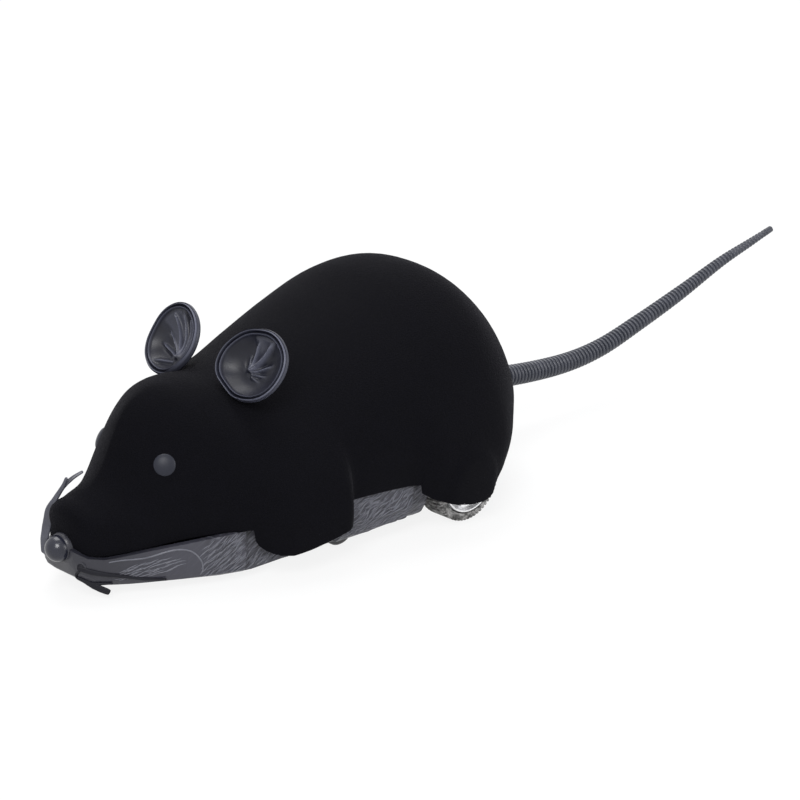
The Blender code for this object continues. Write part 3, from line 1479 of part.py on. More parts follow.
# Power switch over its slot, with a knob that slides sideways
switch_low = chassis_floor_top + part_gap
switch = box(-switch_half_length, switch_half_length, along(switch_along) - switch_half_width,
             along(switch_along) + switch_half_width, switch_low, switch_low + switch_height)
knob_top = switch_low + knob_rise
switch = cut(switch, box(-slot_half_length, slot_half_length, along(switch_along - slot_half_width),
                         along(switch_along + slot_half_width), switch_low - part_gap, knob_top + part_gap))
add_object("power_switch", switch, (0.55, 0.55, 0.56), 0.35, 0.8, smooth=None)
knob_place = -switch_travel / 2
knob = box(knob_place - knob_half_size, knob_place + knob_half_size, along(switch_along) - knob_half_size,
           along(switch_along) + knob_half_size, chassis_clearance - knob_proud, knob_top)
add_object("switch_knob", knob, (0.03, 0.03, 0.03), 0.5,
           origin=Vector((knob_place, along(switch_along), chassis_clearance)), smooth=None)

# Circuit board on its posts, with its larger parts
board_low = board_post_top + part_gap
board_top = board_low + board_thickness
add_object("circuit_board", box(-board_half_width, board_half_width, along(board_front), along(board_rear),
                                board_low, board_top), (0.02, 0.16, 0.07), 0.5, smooth=None)
part_low = board_top + part_gap
add_object("control_chip", box(chip_side - chip_width / 2, chip_side + chip_width / 2,
                               along(chip_along - chip_length / 2), along(chip_along + chip_length / 2),
                               part_low, part_low + chip_height),
           (0.02, 0.02, 0.02), 0.5, smooth=None)
add_object("timing_crystal", box(can_side - can_width / 2, can_side + can_width / 2,
                                 along(can_along - can_length / 2), along(can_along + can_length / 2),
                                 part_low, part_low + can_height),
           (0.7, 0.7, 0.72), 0.25, 1.0, smooth=None)
add_object("capacitor", rod((capacitor_side, along(capacitor_along), part_low),
                            (capacitor_side, along(capacitor_along), part_low + capacitor_height),
                            capacitor_radius, 16), (0.03, 0.05, 0.12), 0.4)


# Leads inside the body
def lead(name, stops, colour):
    line = curve_points(stops, lead_steps)
    add_object(name, tube(line, [lead_radius] * len(line), lead_sides), colour, 0.5)


lead_clear = lead_radius + part_gap
tab_face = contact_front - lead_clear
tab_high = bay_roof_top + contact_tab_height - lead_radius
switch_top = switch_low + switch_height + part_gap
lead_arch = 2 * switch_height
lead("switch_lead", [
    Vector((tab_middle, along(tab_face), tab_high)),
    Vector((tab_middle * lead_inset_share, along(bay_front - bay_wall - 3 * lead_clear), bay_roof_low)),
    Vector((tab_middle / 2, along(bay_front - bay_wall - 5 * lead_clear), switch_top + lead_arch / 4)),
    Vector((switch_half_length / 2, along(switch_along), switch_top + lead_radius)),
    Vector((switch_half_length / 2, along(switch_along), switch_top)),
], (0.45, 0.03, 0.03))
board_face = board_front - part_gap
lead_level = (board_low + board_top) / 2
lead("board_lead", [
    Vector((-switch_half_length / 2, along(switch_along), switch_top)),
    Vector((-switch_half_length / 2, along(switch_along), switch_top + lead_radius)),
    Vector((-switch_half_length / 4, along(bay_front - bay_wall - 3 * lead_clear), bay_roof_low)),
    Vector((0, along((bay_front + board_front) / 2), lead_level + lead_radius)),
    Vector((0, along(board_face - lead_radius), lead_level)),
    Vector((0, along(board_face), lead_level)),
], (0.45, 0.03, 0.03))
lead("battery_lead", [
    Vector((-tab_middle, along(tab_face + 2 * lead_clear + contact_thickness), tab_high)),
    Vector((-tab_middle, along((tab_face + board_front) / 2 + lead_radius), tab_high)),
    Vector((-tab_middle, along(board_face - lead_radius), lead_level)),
    Vector((-tab_middle, along(board_face), lead_level)),
], (0.02, 0.02, 0.02))
board_back = board_rear + part_gap
for name, side in both_sides:
    reach = (clamp_half_width + inner_plate_side) / 2
    can_face = motor_along - motor_radius - part_gap
    lead("motor_lead_" + name, [
        Vector((side * reach * lead_inset_share, along(board_back), lead_level)),
        Vector((side * reach * lead_inset_share, along(board_back + lead_radius), lead_level)),
        Vector((side * reach, along((board_back + can_face) / 2), (lead_level + motor_height) / 2)),
        Vector((side * reach, along(can_face - lead_radius), motor_height)),
        Vector((side * reach, along(can_face), motor_height)),
    ], (0.45, 0.03, 0.03) if side > 0 else (0.02, 0.02, 0.02))
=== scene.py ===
import math

import bmesh
import bpy
import numpy as np
from mathutils import Matrix, Vector
from mathutils.bvhtree import BVHTree

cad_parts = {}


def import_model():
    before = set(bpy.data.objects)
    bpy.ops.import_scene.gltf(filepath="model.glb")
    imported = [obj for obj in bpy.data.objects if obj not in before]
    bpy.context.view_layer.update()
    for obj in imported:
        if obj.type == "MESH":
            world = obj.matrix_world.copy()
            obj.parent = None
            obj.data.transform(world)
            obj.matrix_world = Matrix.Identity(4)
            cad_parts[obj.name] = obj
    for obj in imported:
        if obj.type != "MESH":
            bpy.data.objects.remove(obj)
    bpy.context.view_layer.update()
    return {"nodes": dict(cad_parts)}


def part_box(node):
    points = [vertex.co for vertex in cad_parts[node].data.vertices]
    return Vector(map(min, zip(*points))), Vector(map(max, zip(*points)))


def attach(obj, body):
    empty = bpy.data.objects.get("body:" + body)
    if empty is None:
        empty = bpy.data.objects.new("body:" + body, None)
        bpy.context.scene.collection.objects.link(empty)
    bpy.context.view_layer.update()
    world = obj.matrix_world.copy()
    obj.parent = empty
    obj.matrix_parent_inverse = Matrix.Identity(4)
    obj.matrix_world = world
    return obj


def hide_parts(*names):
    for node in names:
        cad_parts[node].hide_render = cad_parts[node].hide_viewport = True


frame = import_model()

both_sides = (("left", 1), ("right", -1))
nose_tip_y = -0.110


def behind_nose(distance):
    """World Y of a place at this distance behind the nose tip."""
    return nose_tip_y + distance


# Camera, at the photograph's angle
aim = Vector((0.0, -0.01354, 0.01617))
view_from = Vector((0.6715, -0.6485, 0.3584))
camera_distance = 0.650
camera_data = bpy.data.cameras.new("camera")
camera_data.sensor_width = 36.0
camera_data.lens = 136.43
camera_data.clip_start = 0.01
camera = bpy.data.objects.new("camera", camera_data)
camera.location = aim + view_from.normalized() * camera_distance
camera.rotation_euler = (aim - camera.location).to_track_quat("-Z", "Y").to_euler()
bpy.context.scene.collection.objects.link(camera)
bpy.context.scene.camera = camera
bpy.context.scene.view_settings.view_transform = "Standard"


# Shader sums and finishes
class Wire:
    """A shader socket that can be added, multiplied and so on."""

    def __init__(self, nodes, socket):
        self.nodes = nodes
        self.socket = socket

    def sum(self, operation, first, second):
        return self.nodes.node("ShaderNodeMath", {"operation": operation}, {0: first, 1: second})

    def __add__(self, other):
        return self.sum("ADD", self, other)

    def __radd__(self, other):
        return self.sum("ADD", other, self)

    def __sub__(self, other):
        return self.sum("SUBTRACT", self, other)

    def __rsub__(self, other):
        return self.sum("SUBTRACT", other, self)

    def __mul__(self, other):
        return self.sum("MULTIPLY", self, other)

    def __rmul__(self, other):
        return self.sum("MULTIPLY", other, self)

    def most(self, other):
        return self.sum("MAXIMUM", self, other)

    def step(self, low, high):
        """0 below low, 1 above high, smooth between."""
        return self.nodes.node("ShaderNodeMapRange", {"interpolation_type": "SMOOTHSTEP"},
                               {"Value": self, "From Min": low, "From Max": high})


class Nodes:
    """A node tree and the nodes that are put in it."""

    def __init__(self, tree):
        self.tree = tree

    def node(self, kind, settings, values, out=0):
        made = self.tree.nodes.new(kind)
        for label, value in settings.items():
            setattr(made, label, value)
        for key, value in values.items():
            if isinstance(value, Wire):
                self.tree.links.new(value.socket, made.inputs[key])
            else:
                made.inputs[key].default_value = value
        return Wire(self, made.outputs[out])

    def in_sight(self):
        """1 for rays that the camera sees straight, in a gloss or through something, else 0."""
        paths = self.node("ShaderNodeLightPath", {}, {}).socket.node
        straight, gloss, through = (Wire(self, paths.outputs["Is " + kind + " Ray"])
                                    for kind in ("Camera", "Glossy", "Transmission"))
        return straight.most(gloss).most(through)

    def end_with(self, factor, first, second, end):
        mixed = self.node("ShaderNodeMixShader", {}, {0: factor, 1: first, 2: second})
        self.tree.links.new(mixed.socket, self.tree.nodes[end].inputs["Surface"])


class Finish(Nodes):
    """One material and the nodes that feed its shader."""

    def __init__(self, name, colour, roughness, metallic=0.0, **constants):
        self.material = bpy.data.materials.new(name)
        self.material.use_nodes = True
        super().__init__(self.material.node_tree)
        self.shader = self.tree.nodes["Principled BSDF"]
        self.shader.inputs["Base Color"].default_value = (*colour, 1.0)
        self.shader.inputs["Roughness"].default_value = roughness
        self.shader.inputs["Metallic"].default_value = metallic
        for label, value in constants.items():
            self.shader.inputs[label.replace("_", " ").title().replace("Ior", "IOR")].default_value = value
        self.material.diffuse_color = (*colour, 1.0)

    def place(self, stretch=(1.0, 1.0, 1.0), turn=(0.0, 0.0, 0.0)):
        here = self.node("ShaderNodeTexCoord", {}, {}, "Object")
        if turn == (0.0, 0.0, 0.0) and stretch == (1.0, 1.0, 1.0):
            return here
        turned_place = self.node("ShaderNodeVectorRotate", {"rotation_type": "EULER_XYZ"},
                                 {"Vector": here, "Rotation": turn})
        return self.node("ShaderNodeVectorMath", {"operation": "MULTIPLY"}, {0: turned_place, 1: stretch})

    def part_of_place(self, letter):
        return self.node("ShaderNodeSeparateXYZ", {}, {0: self.place()}, letter)

    def noise(self, scale, detail=2.0, stretch=(1.0, 1.0, 1.0), turn=(0.0, 0.0, 0.0), coarse=0.5):
        return self.node("ShaderNodeTexNoise", {}, {"Vector": self.place(stretch, turn), "Scale": scale,
                                                    "Detail": detail, "Roughness": coarse})

    def cells(self, scale):
        return self.node("ShaderNodeTexVoronoi", {}, {"Vector": self.place(), "Scale": scale})

    def colours(self, factor, low, high):
        """Feeds the colour from low to high by the factor; low may be the mix of an earlier call."""
        low = low if isinstance(low, Wire) else (*low, 1.0)
        mixed = self.node("ShaderNodeMix", {"data_type": "RGBA"}, {0: factor, 6: low, 7: (*high, 1.0)}, 2)
        self.feed("Base Color", mixed)
        return mixed

    def feed(self, label, wire):
        self.tree.links.new(wire.socket, self.shader.inputs[label])

    def relief(self, height, distance, strength):
        self.feed("Normal", self.node("ShaderNodeBump", {}, {"Height": height, "Distance": distance,
                                                             "Strength": strength}))

    def grained(self, scale, depth, strength, roughness, swing, stretch=(1.0, 1.0, 1.0)):
        """A fine grain in the relief, and a roughness that follows it."""
        grain = self.noise(scale, stretch=stretch)
        self.relief(grain, depth, strength)
        self.feed("Roughness", roughness + swing * grain)


def flock_finish():
    made = Finish("black_flock", (0.006, 0.006, 0.008), 0.95, sheen_weight=0.03, sheen_roughness=0.35,
                  sheen_tint=(0.80, 0.78, 0.90, 1.0), specular_ior_level=0.06)
    fibres = made.noise(4200.0, stretch=(1.0, 0.45, 1.0))
    brushed = made.noise(420.0, 3.0, stretch=(1.0, 0.5, 1.0))
    made.colours(fibres * 0.65 + brushed * 0.35, (0.0012, 0.0012, 0.0018), (0.0047, 0.0046, 0.0066))
    made.relief(fibres + 0.4 * brushed, 0.00022, 0.8)
    made.feed("Roughness", 0.90 + 0.10 * brushed)
    return made.material


def chassis_finish():
    made = Finish("slate_plastic", (0.048, 0.048, 0.063), 0.40, specular_ior_level=0.45)
    combed = made.noise(1.0, stretch=(700.0, 420.0, 2900.0), turn=(math.radians(-40), 0.0, 0.0), coarse=0.55)
    swirl_place = made.place((700.0, 420.0, 2300.0), (math.radians(-32), 0.0, 0.0))
    swirled = made.node("ShaderNodeTexNoise", {}, {"Vector": swirl_place, "Scale": 1.0, "Detail": 2.0,
                                                   "Distortion": 0.9})
    along_body = made.part_of_place("Y")
    up = made.part_of_place("Z")
    behind_paw = along_body.step(behind_nose(0.0500), behind_nose(0.0560))
    fur = combed * (1.0 - behind_paw) + swirled * behind_paw
    cheek = 1.0 - along_body.step(behind_nose(0.0250), behind_nose(0.0290))
    side_wall = up.step(0.0020, 0.0034)
    worked = side_wall * (1.0 - cheek * 0.92)
    grain = made.noise(9000.0)
    # Painted highlight on the crests of the fur and painted shade in its hollows, on the worked side wall; the
    # crest mask also raises the roughness a little
    crest_highlight = fur.step(0.53, 0.60)
    hollow_shade = (1.0 - fur.step(0.40, 0.47)) * worked
    crest_highlight_colour = made.colours(crest_highlight * worked, (0.040, 0.040, 0.053), (0.096, 0.098, 0.118))
    hollow_shade_colour = made.colours(hollow_shade, crest_highlight_colour, (0.017, 0.017, 0.024))
    # Painted shade: the muzzle darkens toward the nose
    painted_nose_shade = 1.0 - along_body.step(behind_nose(0.0080), behind_nose(0.0240))
    made.colours(painted_nose_shade * 0.75, hollow_shade_colour, (0.013, 0.013, 0.019))
    made.relief(fur * worked + 0.03 * grain, 0.00040, 0.9)
    made.feed("Roughness", 0.34 + 0.18 * grain * worked + 0.06 * crest_highlight)
    return made.material


def fur_stroke_highlight_finish():
    # Paler than the chassis, which paints a highlight on the raised fur strokes and the lip ridge
    made = Finish("raised_fur_strokes", (0.17, 0.175, 0.205), 0.34, specular_ior_level=0.5)
    made.colours(made.noise(900.0), (0.048, 0.049, 0.064), (0.160, 0.163, 0.190))
    made.grained(9000.0, 0.00002, 0.4, 0.28, 0.12)
    return made.material


def rubber_finish(name, dark, light, roughness):
    made = Finish(name, dark, roughness, specular_ior_level=0.5)
    made.colours(made.noise(300.0, 3.0).step(0.35, 0.7), dark, light)
    made.grained(7000.0, 0.00002, 0.5, roughness - 0.06, 0.12)
    return made.material


def ear_finish():
    """Dark rubber with a painted highlight where the mesh marks a rim or the crest of a fold."""
    made = Finish("soft_slate_rubber", (0.012, 0.013, 0.021), 0.32, specular_ior_level=0.32)
    cloud = made.noise(300.0, 3.0)
    paleness = made.node("ShaderNodeAttribute", {"attribute_name": "paleness"}, {}, "Fac")
    bowl = made.colours(cloud.step(0.35, 0.7), (0.0065, 0.007, 0.013), (0.012, 0.013, 0.022))
    # Painted highlight on the rims and fold crests, read from the mesh attribute
    made.colours(paleness, bowl, (0.115, 0.120, 0.160))
    made.grained(7000.0, 0.00002, 0.5, 0.34, 0.12)
    return made.material


def plastic_finish(name, dark, light, roughness, **constants):
    made = Finish(name, dark, roughness, **constants)
    made.colours(made.noise(220.0), dark, light)
    made.grained(6000.0, 0.00002, 0.4, roughness - 0.05, 0.10)
    return made.material


def metal_finish(name, dark, light, roughness, stretch=(1.0, 1.0, 1.0), metallic=1.0):
    made = Finish(name, light, roughness, metallic)
    made.colours(made.noise(260.0), dark, light)
    made.grained(3000.0, 0.00001, 0.4, roughness - 0.06, 0.12, stretch)
    return made.material


def tyre_finish():
    made = Finish("tyre_rubber", (0.060, 0.060, 0.064), 0.70)
    made.colours(made.noise(900.0, 3.0).step(0.35, 0.70), (0.070, 0.069, 0.068), (0.420, 0.410, 0.402))
    made.grained(6000.0, 0.00003, 0.5, 0.62, 0.2)
    return made.material


def cell_finish():
    made = Finish("cell_sleeve", (0.10, 0.11, 0.13), 0.35)
    along_cell = made.part_of_place("Y")
    band = along_cell.step(behind_nose(0.0688), behind_nose(0.0690))
    made.colours(band, (0.035, 0.037, 0.045), (0.55, 0.30, 0.10))
    made.grained(1800.0, 0.00002, 0.3, 0.30, 0.12)
    return made.material


def board_finish():
    made = Finish("green_board", (0.02, 0.13, 0.05), 0.35)
    weave = made.cells(2200.0)
    tracks = made.noise(520.0, 1.0, stretch=(1.0, 0.25, 1.0))
    made.colours(tracks.step(0.52, 0.56), (0.012, 0.090, 0.035), (0.030, 0.170, 0.065))
    made.relief(tracks.step(0.50, 0.58) + 0.05 * weave, 0.00004, 0.6)
    return made.material


flock = flock_finish()
slate = chassis_finish()
fur_stroke_highlight = fur_stroke_highlight_finish()
soft_rubber = ear_finish()
tail_rubber = rubber_finish("tail_rubber", (0.028, 0.031, 0.043), (0.042, 0.045, 0.060), 0.36)
whisker_rubber = plastic_finish("whisker_rubber", (0.007, 0.007, 0.010), (0.015, 0.015, 0.020), 0.50,
                                specular_ior_level=0.15)
# A lighter copy of the whisker rubber for the far whiskers: painted light
pale_whisker_rubber = rubber_finish("pale_whisker_rubber", (0.045, 0.046, 0.060), (0.075, 0.077, 0.098), 0.36)
nose_gloss = rubber_finish("nose_gloss_rubber", (0.007, 0.008, 0.016), (0.014, 0.015, 0.026), 0.22)
eye_gloss = plastic_finish("eye_gloss", (0.012, 0.013, 0.020), (0.022, 0.024, 0.034), 0.42,
                           specular_ior_level=0.22)
tyre_rubber = tyre_finish()
roller_black = plastic_finish("roller_black", (0.010, 0.010, 0.011), (0.020, 0.020, 0.022), 0.35)
bright_chrome = metal_finish("hub_chrome", (0.90, 0.90, 0.92), (0.98, 0.98, 0.99), 0.20, metallic=0.55)
steel = metal_finish("plain_steel", (0.42, 0.42, 0.44), (0.62, 0.62, 0.64), 0.30)
brass = metal_finish("pinion_brass", (0.55, 0.40, 0.16), (0.74, 0.58, 0.28), 0.30)
tin = metal_finish("motor_can_tin", (0.50, 0.50, 0.52), (0.68, 0.68, 0.70), 0.28, stretch=(0.2, 1.0, 1.0))
gear_plastic = plastic_finish("gear_plastic", (0.62, 0.59, 0.50), (0.70, 0.67, 0.59), 0.45,
                              subsurface_weight=0.05)
gearbox_plastic = plastic_finish("gearbox_plastic", (0.66, 0.65, 0.60), (0.74, 0.73, 0.69), 0.50)
switch_black = plastic_finish("switch_black", (0.012, 0.012, 0.012), (0.026, 0.026, 0.026), 0.40)
chip_black = plastic_finish("chip_black", (0.010, 0.010, 0.010), (0.020, 0.020, 0.021), 0.60)
sleeve_blue = plastic_finish("capacitor_sleeve", (0.010, 0.012, 0.050), (0.016, 0.020, 0.075), 0.22)
red_lead = plastic_finish("red_lead", (0.28, 0.010, 0.010), (0.38, 0.018, 0.015), 0.35)
black_lead = plastic_finish("black_lead", (0.010, 0.010, 0.010), (0.020, 0.020, 0.020), 0.35)
cell_sleeve = cell_finish()
green_board = board_finish()

# Finish of each CAD node; a name with an underscore at its end stands for a left and a right one
finish_names = (
    (slate, ("battery_door", "chassis")),
    (steel, ("rear_axle", "idler_pin_", "body_screw_front", "body_screw_", "door_screw", "motor_clamp",
             "contact_plate_", "contact_bridge", "contact_spring_")),
    (gear_plastic, ("wheel_gear_", "compound_gear_")),
    (gearbox_plastic, ("gearbox_",)),
    (brass, ("motor_pinion_",)),
    (tin, ("motor_", "timing_crystal")),
    (cell_sleeve, ("battery_",)),
    (green_board, ("circuit_board",)),
    (chip_black, ("control_chip",)),
    (sleeve_blue, ("capacitor",)),
    (switch_black, ("power_switch", "switch_knob")),
    (red_lead, ("battery_lead", "switch_lead", "motor_lead_left")),
    (black_lead, ("board_lead", "motor_lead_right")),
    (flock, ("upper_shell",)),
    (nose_gloss, ("nose",)),
    (eye_gloss, ("eye_",)),
    (soft_rubber, ("ear_",)),
    (tail_rubber, ("tail",)),
    (whisker_rubber, ("whiskers_",)),
    (tyre_rubber, ("tyre_",)),
    (bright_chrome, ("wheel_hub_",)),
    (roller_black, ("front_roller_",)),
)
node_finishes = {}
for finish, names in finish_names:
    for node_name in names:
        for ending in ("left", "right") if node_name.endswith("_") else ("",):
            node_finishes[node_name + ending] = finish
for node_name, thing in frame["nodes"].items():
    thing.data.materials.clear()
    thing.data.materials.append(node_finishes[node_name])


# Mesh builders
def piece(name, verts, faces, finish, body, smooth=40, paleness=None):
    mesh = bpy.data.meshes.new(name)
    mesh.from_pydata([tuple(v) for v in verts], [], [tuple(int(i) for i in f) for f in faces])
    shape = bmesh.new()
    shape.from_mesh(mesh)
    if paleness:
        layer = shape.verts.layers.float.new("paleness")
        for vert, value in zip(shape.verts, paleness):
            vert[layer] = value
    bmesh.ops.remove_doubles(shape, verts=shape.verts, dist=1e-7)
    bmesh.ops.recalc_face_normals(shape, faces=shape.faces)
    if shape.calc_volume(signed=True) < 0:
        bmesh.ops.reverse_faces(shape, faces=shape.faces)
    shape.to_mesh(mesh)
    shape.free()
    mesh.materials.append(finish)
    mesh.shade_smooth()
    if smooth:
        mesh.set_sharp_from_angle(angle=math.radians(smooth))
    thing = bpy.data.objects.new(name, mesh)
    bpy.context.scene.collection.objects.link(thing)
    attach(thing, body)
    return thing


def gather(*shapes):
    """Several (verts, faces) shapes as one."""
    verts = []
    faces = []
    for more_verts, more_faces in shapes:
        offset = len(verts)
        verts.extend(more_verts)
        faces.extend([tuple(offset + i for i in face) for face in more_faces])
    return verts, faces


def grid_faces(rows, columns, loop_rows=False, loop_columns=False, offset=0):
    faces = []
    for i in range(rows if loop_rows else rows - 1):
        for j in range(columns if loop_columns else columns - 1):
            a = (i % rows) * columns
            b = ((i + 1) % rows) * columns
            k = (j + 1) % columns
            faces.append((offset + a + j, offset + a + k, offset + b + k, offset + b + j))
    return faces


def capped_faces(rings, sides):
    """Faces over a row of rings, with one more to close each end."""
    first, last = range(sides - 1, -1, -1), range((rings - 1) * sides, rings * sides)
    return grid_faces(rings, sides, False, True) + [tuple(first), tuple(last)]


def ring_stops(i, last, cap):
    """Rings at point i: (shift ahead, share of the size), more of them where the cap rounds an end."""
    if i == 0:
        return [(-shift, share) for shift, share in reversed(cap)] + [(0.0, 1.0)]
    return [(0.0, 1.0)] + (list(cap) if i == last else [])


def turned_shape(profile, centre, direction, sides, looped=False, radius_change=None):
    """Turns (place, radius) pairs round an axis through the centre."""
    facing = Vector(direction).to_track_quat("Z", "Y").to_matrix().to_4x4()
    place_at = Matrix.Translation(Vector(centre)) @ facing
    verts = []
    for place, radius in profile:
        for k in range(sides):
            angle = 2 * math.pi * k / sides
            size = radius + (radius_change(place, radius, angle) if radius_change else 0.0)
            verts.append(place_at @ Vector((size * math.cos(angle), size * math.sin(angle), place)))
    rings = len(profile)
    return verts, grid_faces(rings, sides, True, True) if looped else capped_faces(rings, sides)


def tube_shape(points, radii, sides):
    """A closed tube with rounded ends through points."""
    points = [Vector(p) for p in points]
    side_axis = Vector((0.31, 0.17, 0.93))
    verts = []
    rings = 0
    last = len(points) - 1
    for i, point in enumerate(points):
        ahead = (points[min(i + 1, last)] - points[max(i - 1, 0)]).normalized()
        side_axis = (side_axis - ahead * side_axis.dot(ahead)).normalized()
        other = ahead.cross(side_axis)
        for shift, share in ring_stops(i, last, ((0.65, 0.75), (0.92, 0.35))):
            for k in range(sides):
                angle = 2 * math.pi * k / sides
                out = radii[i] * share * (math.cos(angle) * side_axis + math.sin(angle) * other)
                verts.append(point + ahead * shift * radii[i] + out)
            rings += 1
    return verts, capped_faces(rings, sides)


def curve_points(stops, steps):
    """Points on a smooth curve through the stops, evenly spaced along it."""
    stops = [np.array(s, dtype=float) for s in stops]
    count = len(stops)
    dense = []
    for i in range(count - 1):
        before = stops[i - 1] if i else 2 * stops[0] - stops[1]
        after = stops[i + 2] if i + 2 < count else 2 * stops[-1] - stops[-2]
        here, there = stops[i], stops[i + 1]
        for k in range(24):
            f = k / 24
            dense.append(0.5 * (2 * here + (there - before) * f
                                + (2 * before - 5 * here + 4 * there - after) * f * f
                                + (3 * here - before - 3 * there + after) * f * f * f))
    dense.append(stops[-1])
    dense = np.array(dense)
    lengths = np.concatenate([[0.0], np.cumsum(np.linalg.norm(np.diff(dense, axis=0), axis=1))])
    wanted = np.linspace(0.0, lengths[-1], steps + 1)
    return np.stack([np.interp(wanted, lengths, dense[:, k]) for k in range(3)], axis=1)


def ramp(value):
    value = min(max(value, 0.0), 1.0)
    return value * value * (3 - 2 * value)


def hump(value, centre, width):
    return math.exp(-((value - centre) / width) ** 2)


def plateau(value, start, end, rise, fall):
    return ramp((value - start) / rise) * ramp((end - value) / fall)


def spline_row(table, parameter):
    count = len(table)
    parameter = min(max(parameter, 0.0), count - 1 - 1e-9)
    i = int(parameter)
    f = parameter - i
    a, b, c, d = (np.array(table[min(max(k, 0), count - 1)]) for k in (i - 1, i, i + 1, i + 2))
    return 0.5 * (2 * b + (c - a) * f + (2 * a - 5 * b + 4 * c - d) * f ** 2
                  + (3 * b - a - 3 * c + d) * f ** 3)


# Flocked shell: the body's rows as shares of its length, half width and height
body_length = 0.1144
body_half_width = 0.0314
body_height = 0.0486
shell_setback = 0.0048
shell_wall = 0.0015
# edge place, half width, edge height, ridge place, ridge height, widest height, tuck, roundness
shell_row_shares = (
    (0.000, 0.010, 0.232, 0.000, 0.263, 0.252, 0.000, 2.00),
    (0.002, 0.102, 0.216, -0.002, 0.326, 0.268, 0.000, 2.00),
    (0.012, 0.182, 0.194, 0.002, 0.368, 0.278, 0.000, 2.00),
    (0.033, 0.236, 0.184, 0.016, 0.388, 0.275, 0.000, 1.90),
    (0.066, 0.287, 0.184, 0.044, 0.404, 0.269, 0.003, 1.70),
    (0.110, 0.367, 0.194, 0.086, 0.474, 0.267, 0.006, 1.36),
    (0.163, 0.464, 0.211, 0.138, 0.690, 0.274, 0.006, 1.38),
    (0.217, 0.578, 0.223, 0.194, 0.766, 0.287, 0.006, 1.64),
    (0.273, 0.682, 0.231, 0.255, 0.766, 0.303, 0.010, 1.95),
    (0.343, 0.771, 0.246, 0.334, 0.750, 0.320, 0.010, 2.00),
    (0.430, 0.854, 0.259, 0.430, 0.768, 0.331, 0.013, 2.05),
    (0.517, 0.924, 0.263, 0.526, 0.838, 0.344, 0.016, 2.15),
    (0.605, 0.975, 0.254, 0.622, 0.921, 0.352, 0.019, 2.20),
    (0.694, 1.000, 0.246, 0.719, 0.994, 0.356, 0.022, 2.20),
    (0.780, 0.968, 0.238, 0.806, 0.988, 0.356, 0.025, 2.20),
    (0.853, 0.854, 0.234, 0.881, 0.867, 0.352, 0.040, 2.15),
    (0.911, 0.688, 0.229, 0.934, 0.668, 0.340, 0.056, 2.10),
    (0.950, 0.510, 0.227, 0.967, 0.508, 0.316, 0.036, 2.05),
    (0.978, 0.310, 0.225, 0.985, 0.369, 0.280, 0.006, 2.00),
    (0.994, 0.020, 0.225, 0.994, 0.246, 0.232, 0.000, 2.00),
)
# How far the flocked edge hangs down over the front paw and the haunch, against the place behind the nose
paw_edge = (
    (0.0350, 0.0), (0.0352, 0.0023), (0.0358, 0.0036), (0.0370, 0.0048), (0.0388, 0.0058), (0.0412, 0.0063),
    (0.0450, 0.0060), (0.0500, 0.0051), (0.0540, 0.0041), (0.0551, 0.0032), (0.0556, 0.0022), (0.0558, 0.0),
)
haunch_edge = (
    (0.0728, 0.0), (0.0730, 0.0018), (0.0750, 0.0033), (0.0788, 0.0048), (0.0837, 0.0059), (0.0880, 0.0062),
    (0.0900, 0.0056), (0.0912, 0.0047), (0.0920, 0.0040), (0.0938, 0.0024), (0.0958, 0.0010), (0.0975, 0.0),
)
# Where the edge steps down or up at once, and the rows that are laid round each step
step_places = (paw_edge[0][0], paw_edge[-1][0], haunch_edge[0][0])
step_rows = (-0.0007, -0.0004, -0.0002, 0.0, 0.0002, 0.0004, 0.0007)
row_spacing = 0.0011
clear_of_step = 0.0010


def edge_drop(distance):
    paw = np.interp(distance, *zip(*paw_edge))
    haunch = np.interp(distance, *zip(*haunch_edge))
    return float(paw + haunch)


def bulge(distance, height):
    """How far the paw, the haunch and its heel stand out of the body's side at this place."""
    paw = 0.0044 * plateau(distance, 0.0300, 0.0575, 0.0120, 0.0042) * ramp((0.0310 - height) / 0.0200)
    haunch = 0.0028 * plateau(distance, 0.0700, 0.1085, 0.0080, 0.0140) * ramp((0.0330 - height) / 0.0180)
    heel = math.hypot((distance - 0.0850) / 0.0068, (height - 0.0095) / 0.0080)
    return paw + haunch + 0.0009 * ramp((1.15 - heel) / 0.30)


def shell_half(parameter, top_columns, low_columns):
    """One row of the shell's near half, from its ridge over the widest place to the lower edge."""
    edge, half, low, ridge, high, widest, tuck, roundness = spline_row(shell_row_shares, parameter)
    edge = shell_setback + body_length * edge
    ridge = shell_setback + body_length * ridge
    half *= body_half_width
    tuck *= body_half_width
    low, high, widest = (body_height * v for v in (low, high, widest))
    low -= edge_drop(edge)
    points = []
    for k in range(top_columns + 1):
        angle = math.pi / 2 * k / top_columns
        rise = max(math.cos(angle), 0.0) ** (2 / roundness) if k < top_columns else 0.0
        side = half * math.sin(angle) ** (2 / roundness)
        points.append([side, edge + (ridge - edge) * rise, widest + (high - widest) * rise])
    for k in range(1, low_columns + 1):
        f = k / low_columns
        points.append([half - tuck * f * f, edge, widest + (low - widest) * f])
    for point in points:
        point[0] += bulge(point[1], point[2]) * min(1.0, point[0] / max(half, 0.0003))
        point[1] = behind_nose(point[1])
    return np.array(points)


def surface_normals(grid):
    normals = np.cross(np.gradient(grid, axis=0), np.gradient(grid, axis=1))
    normals = normals / np.maximum(np.linalg.norm(normals, axis=2, keepdims=True), 1e-12)
    middle = np.array([0.0, grid[:, :, 1].mean(), 0.009])
    return normals * np.sign(np.mean(np.sum(normals * (grid - middle), axis=2)))


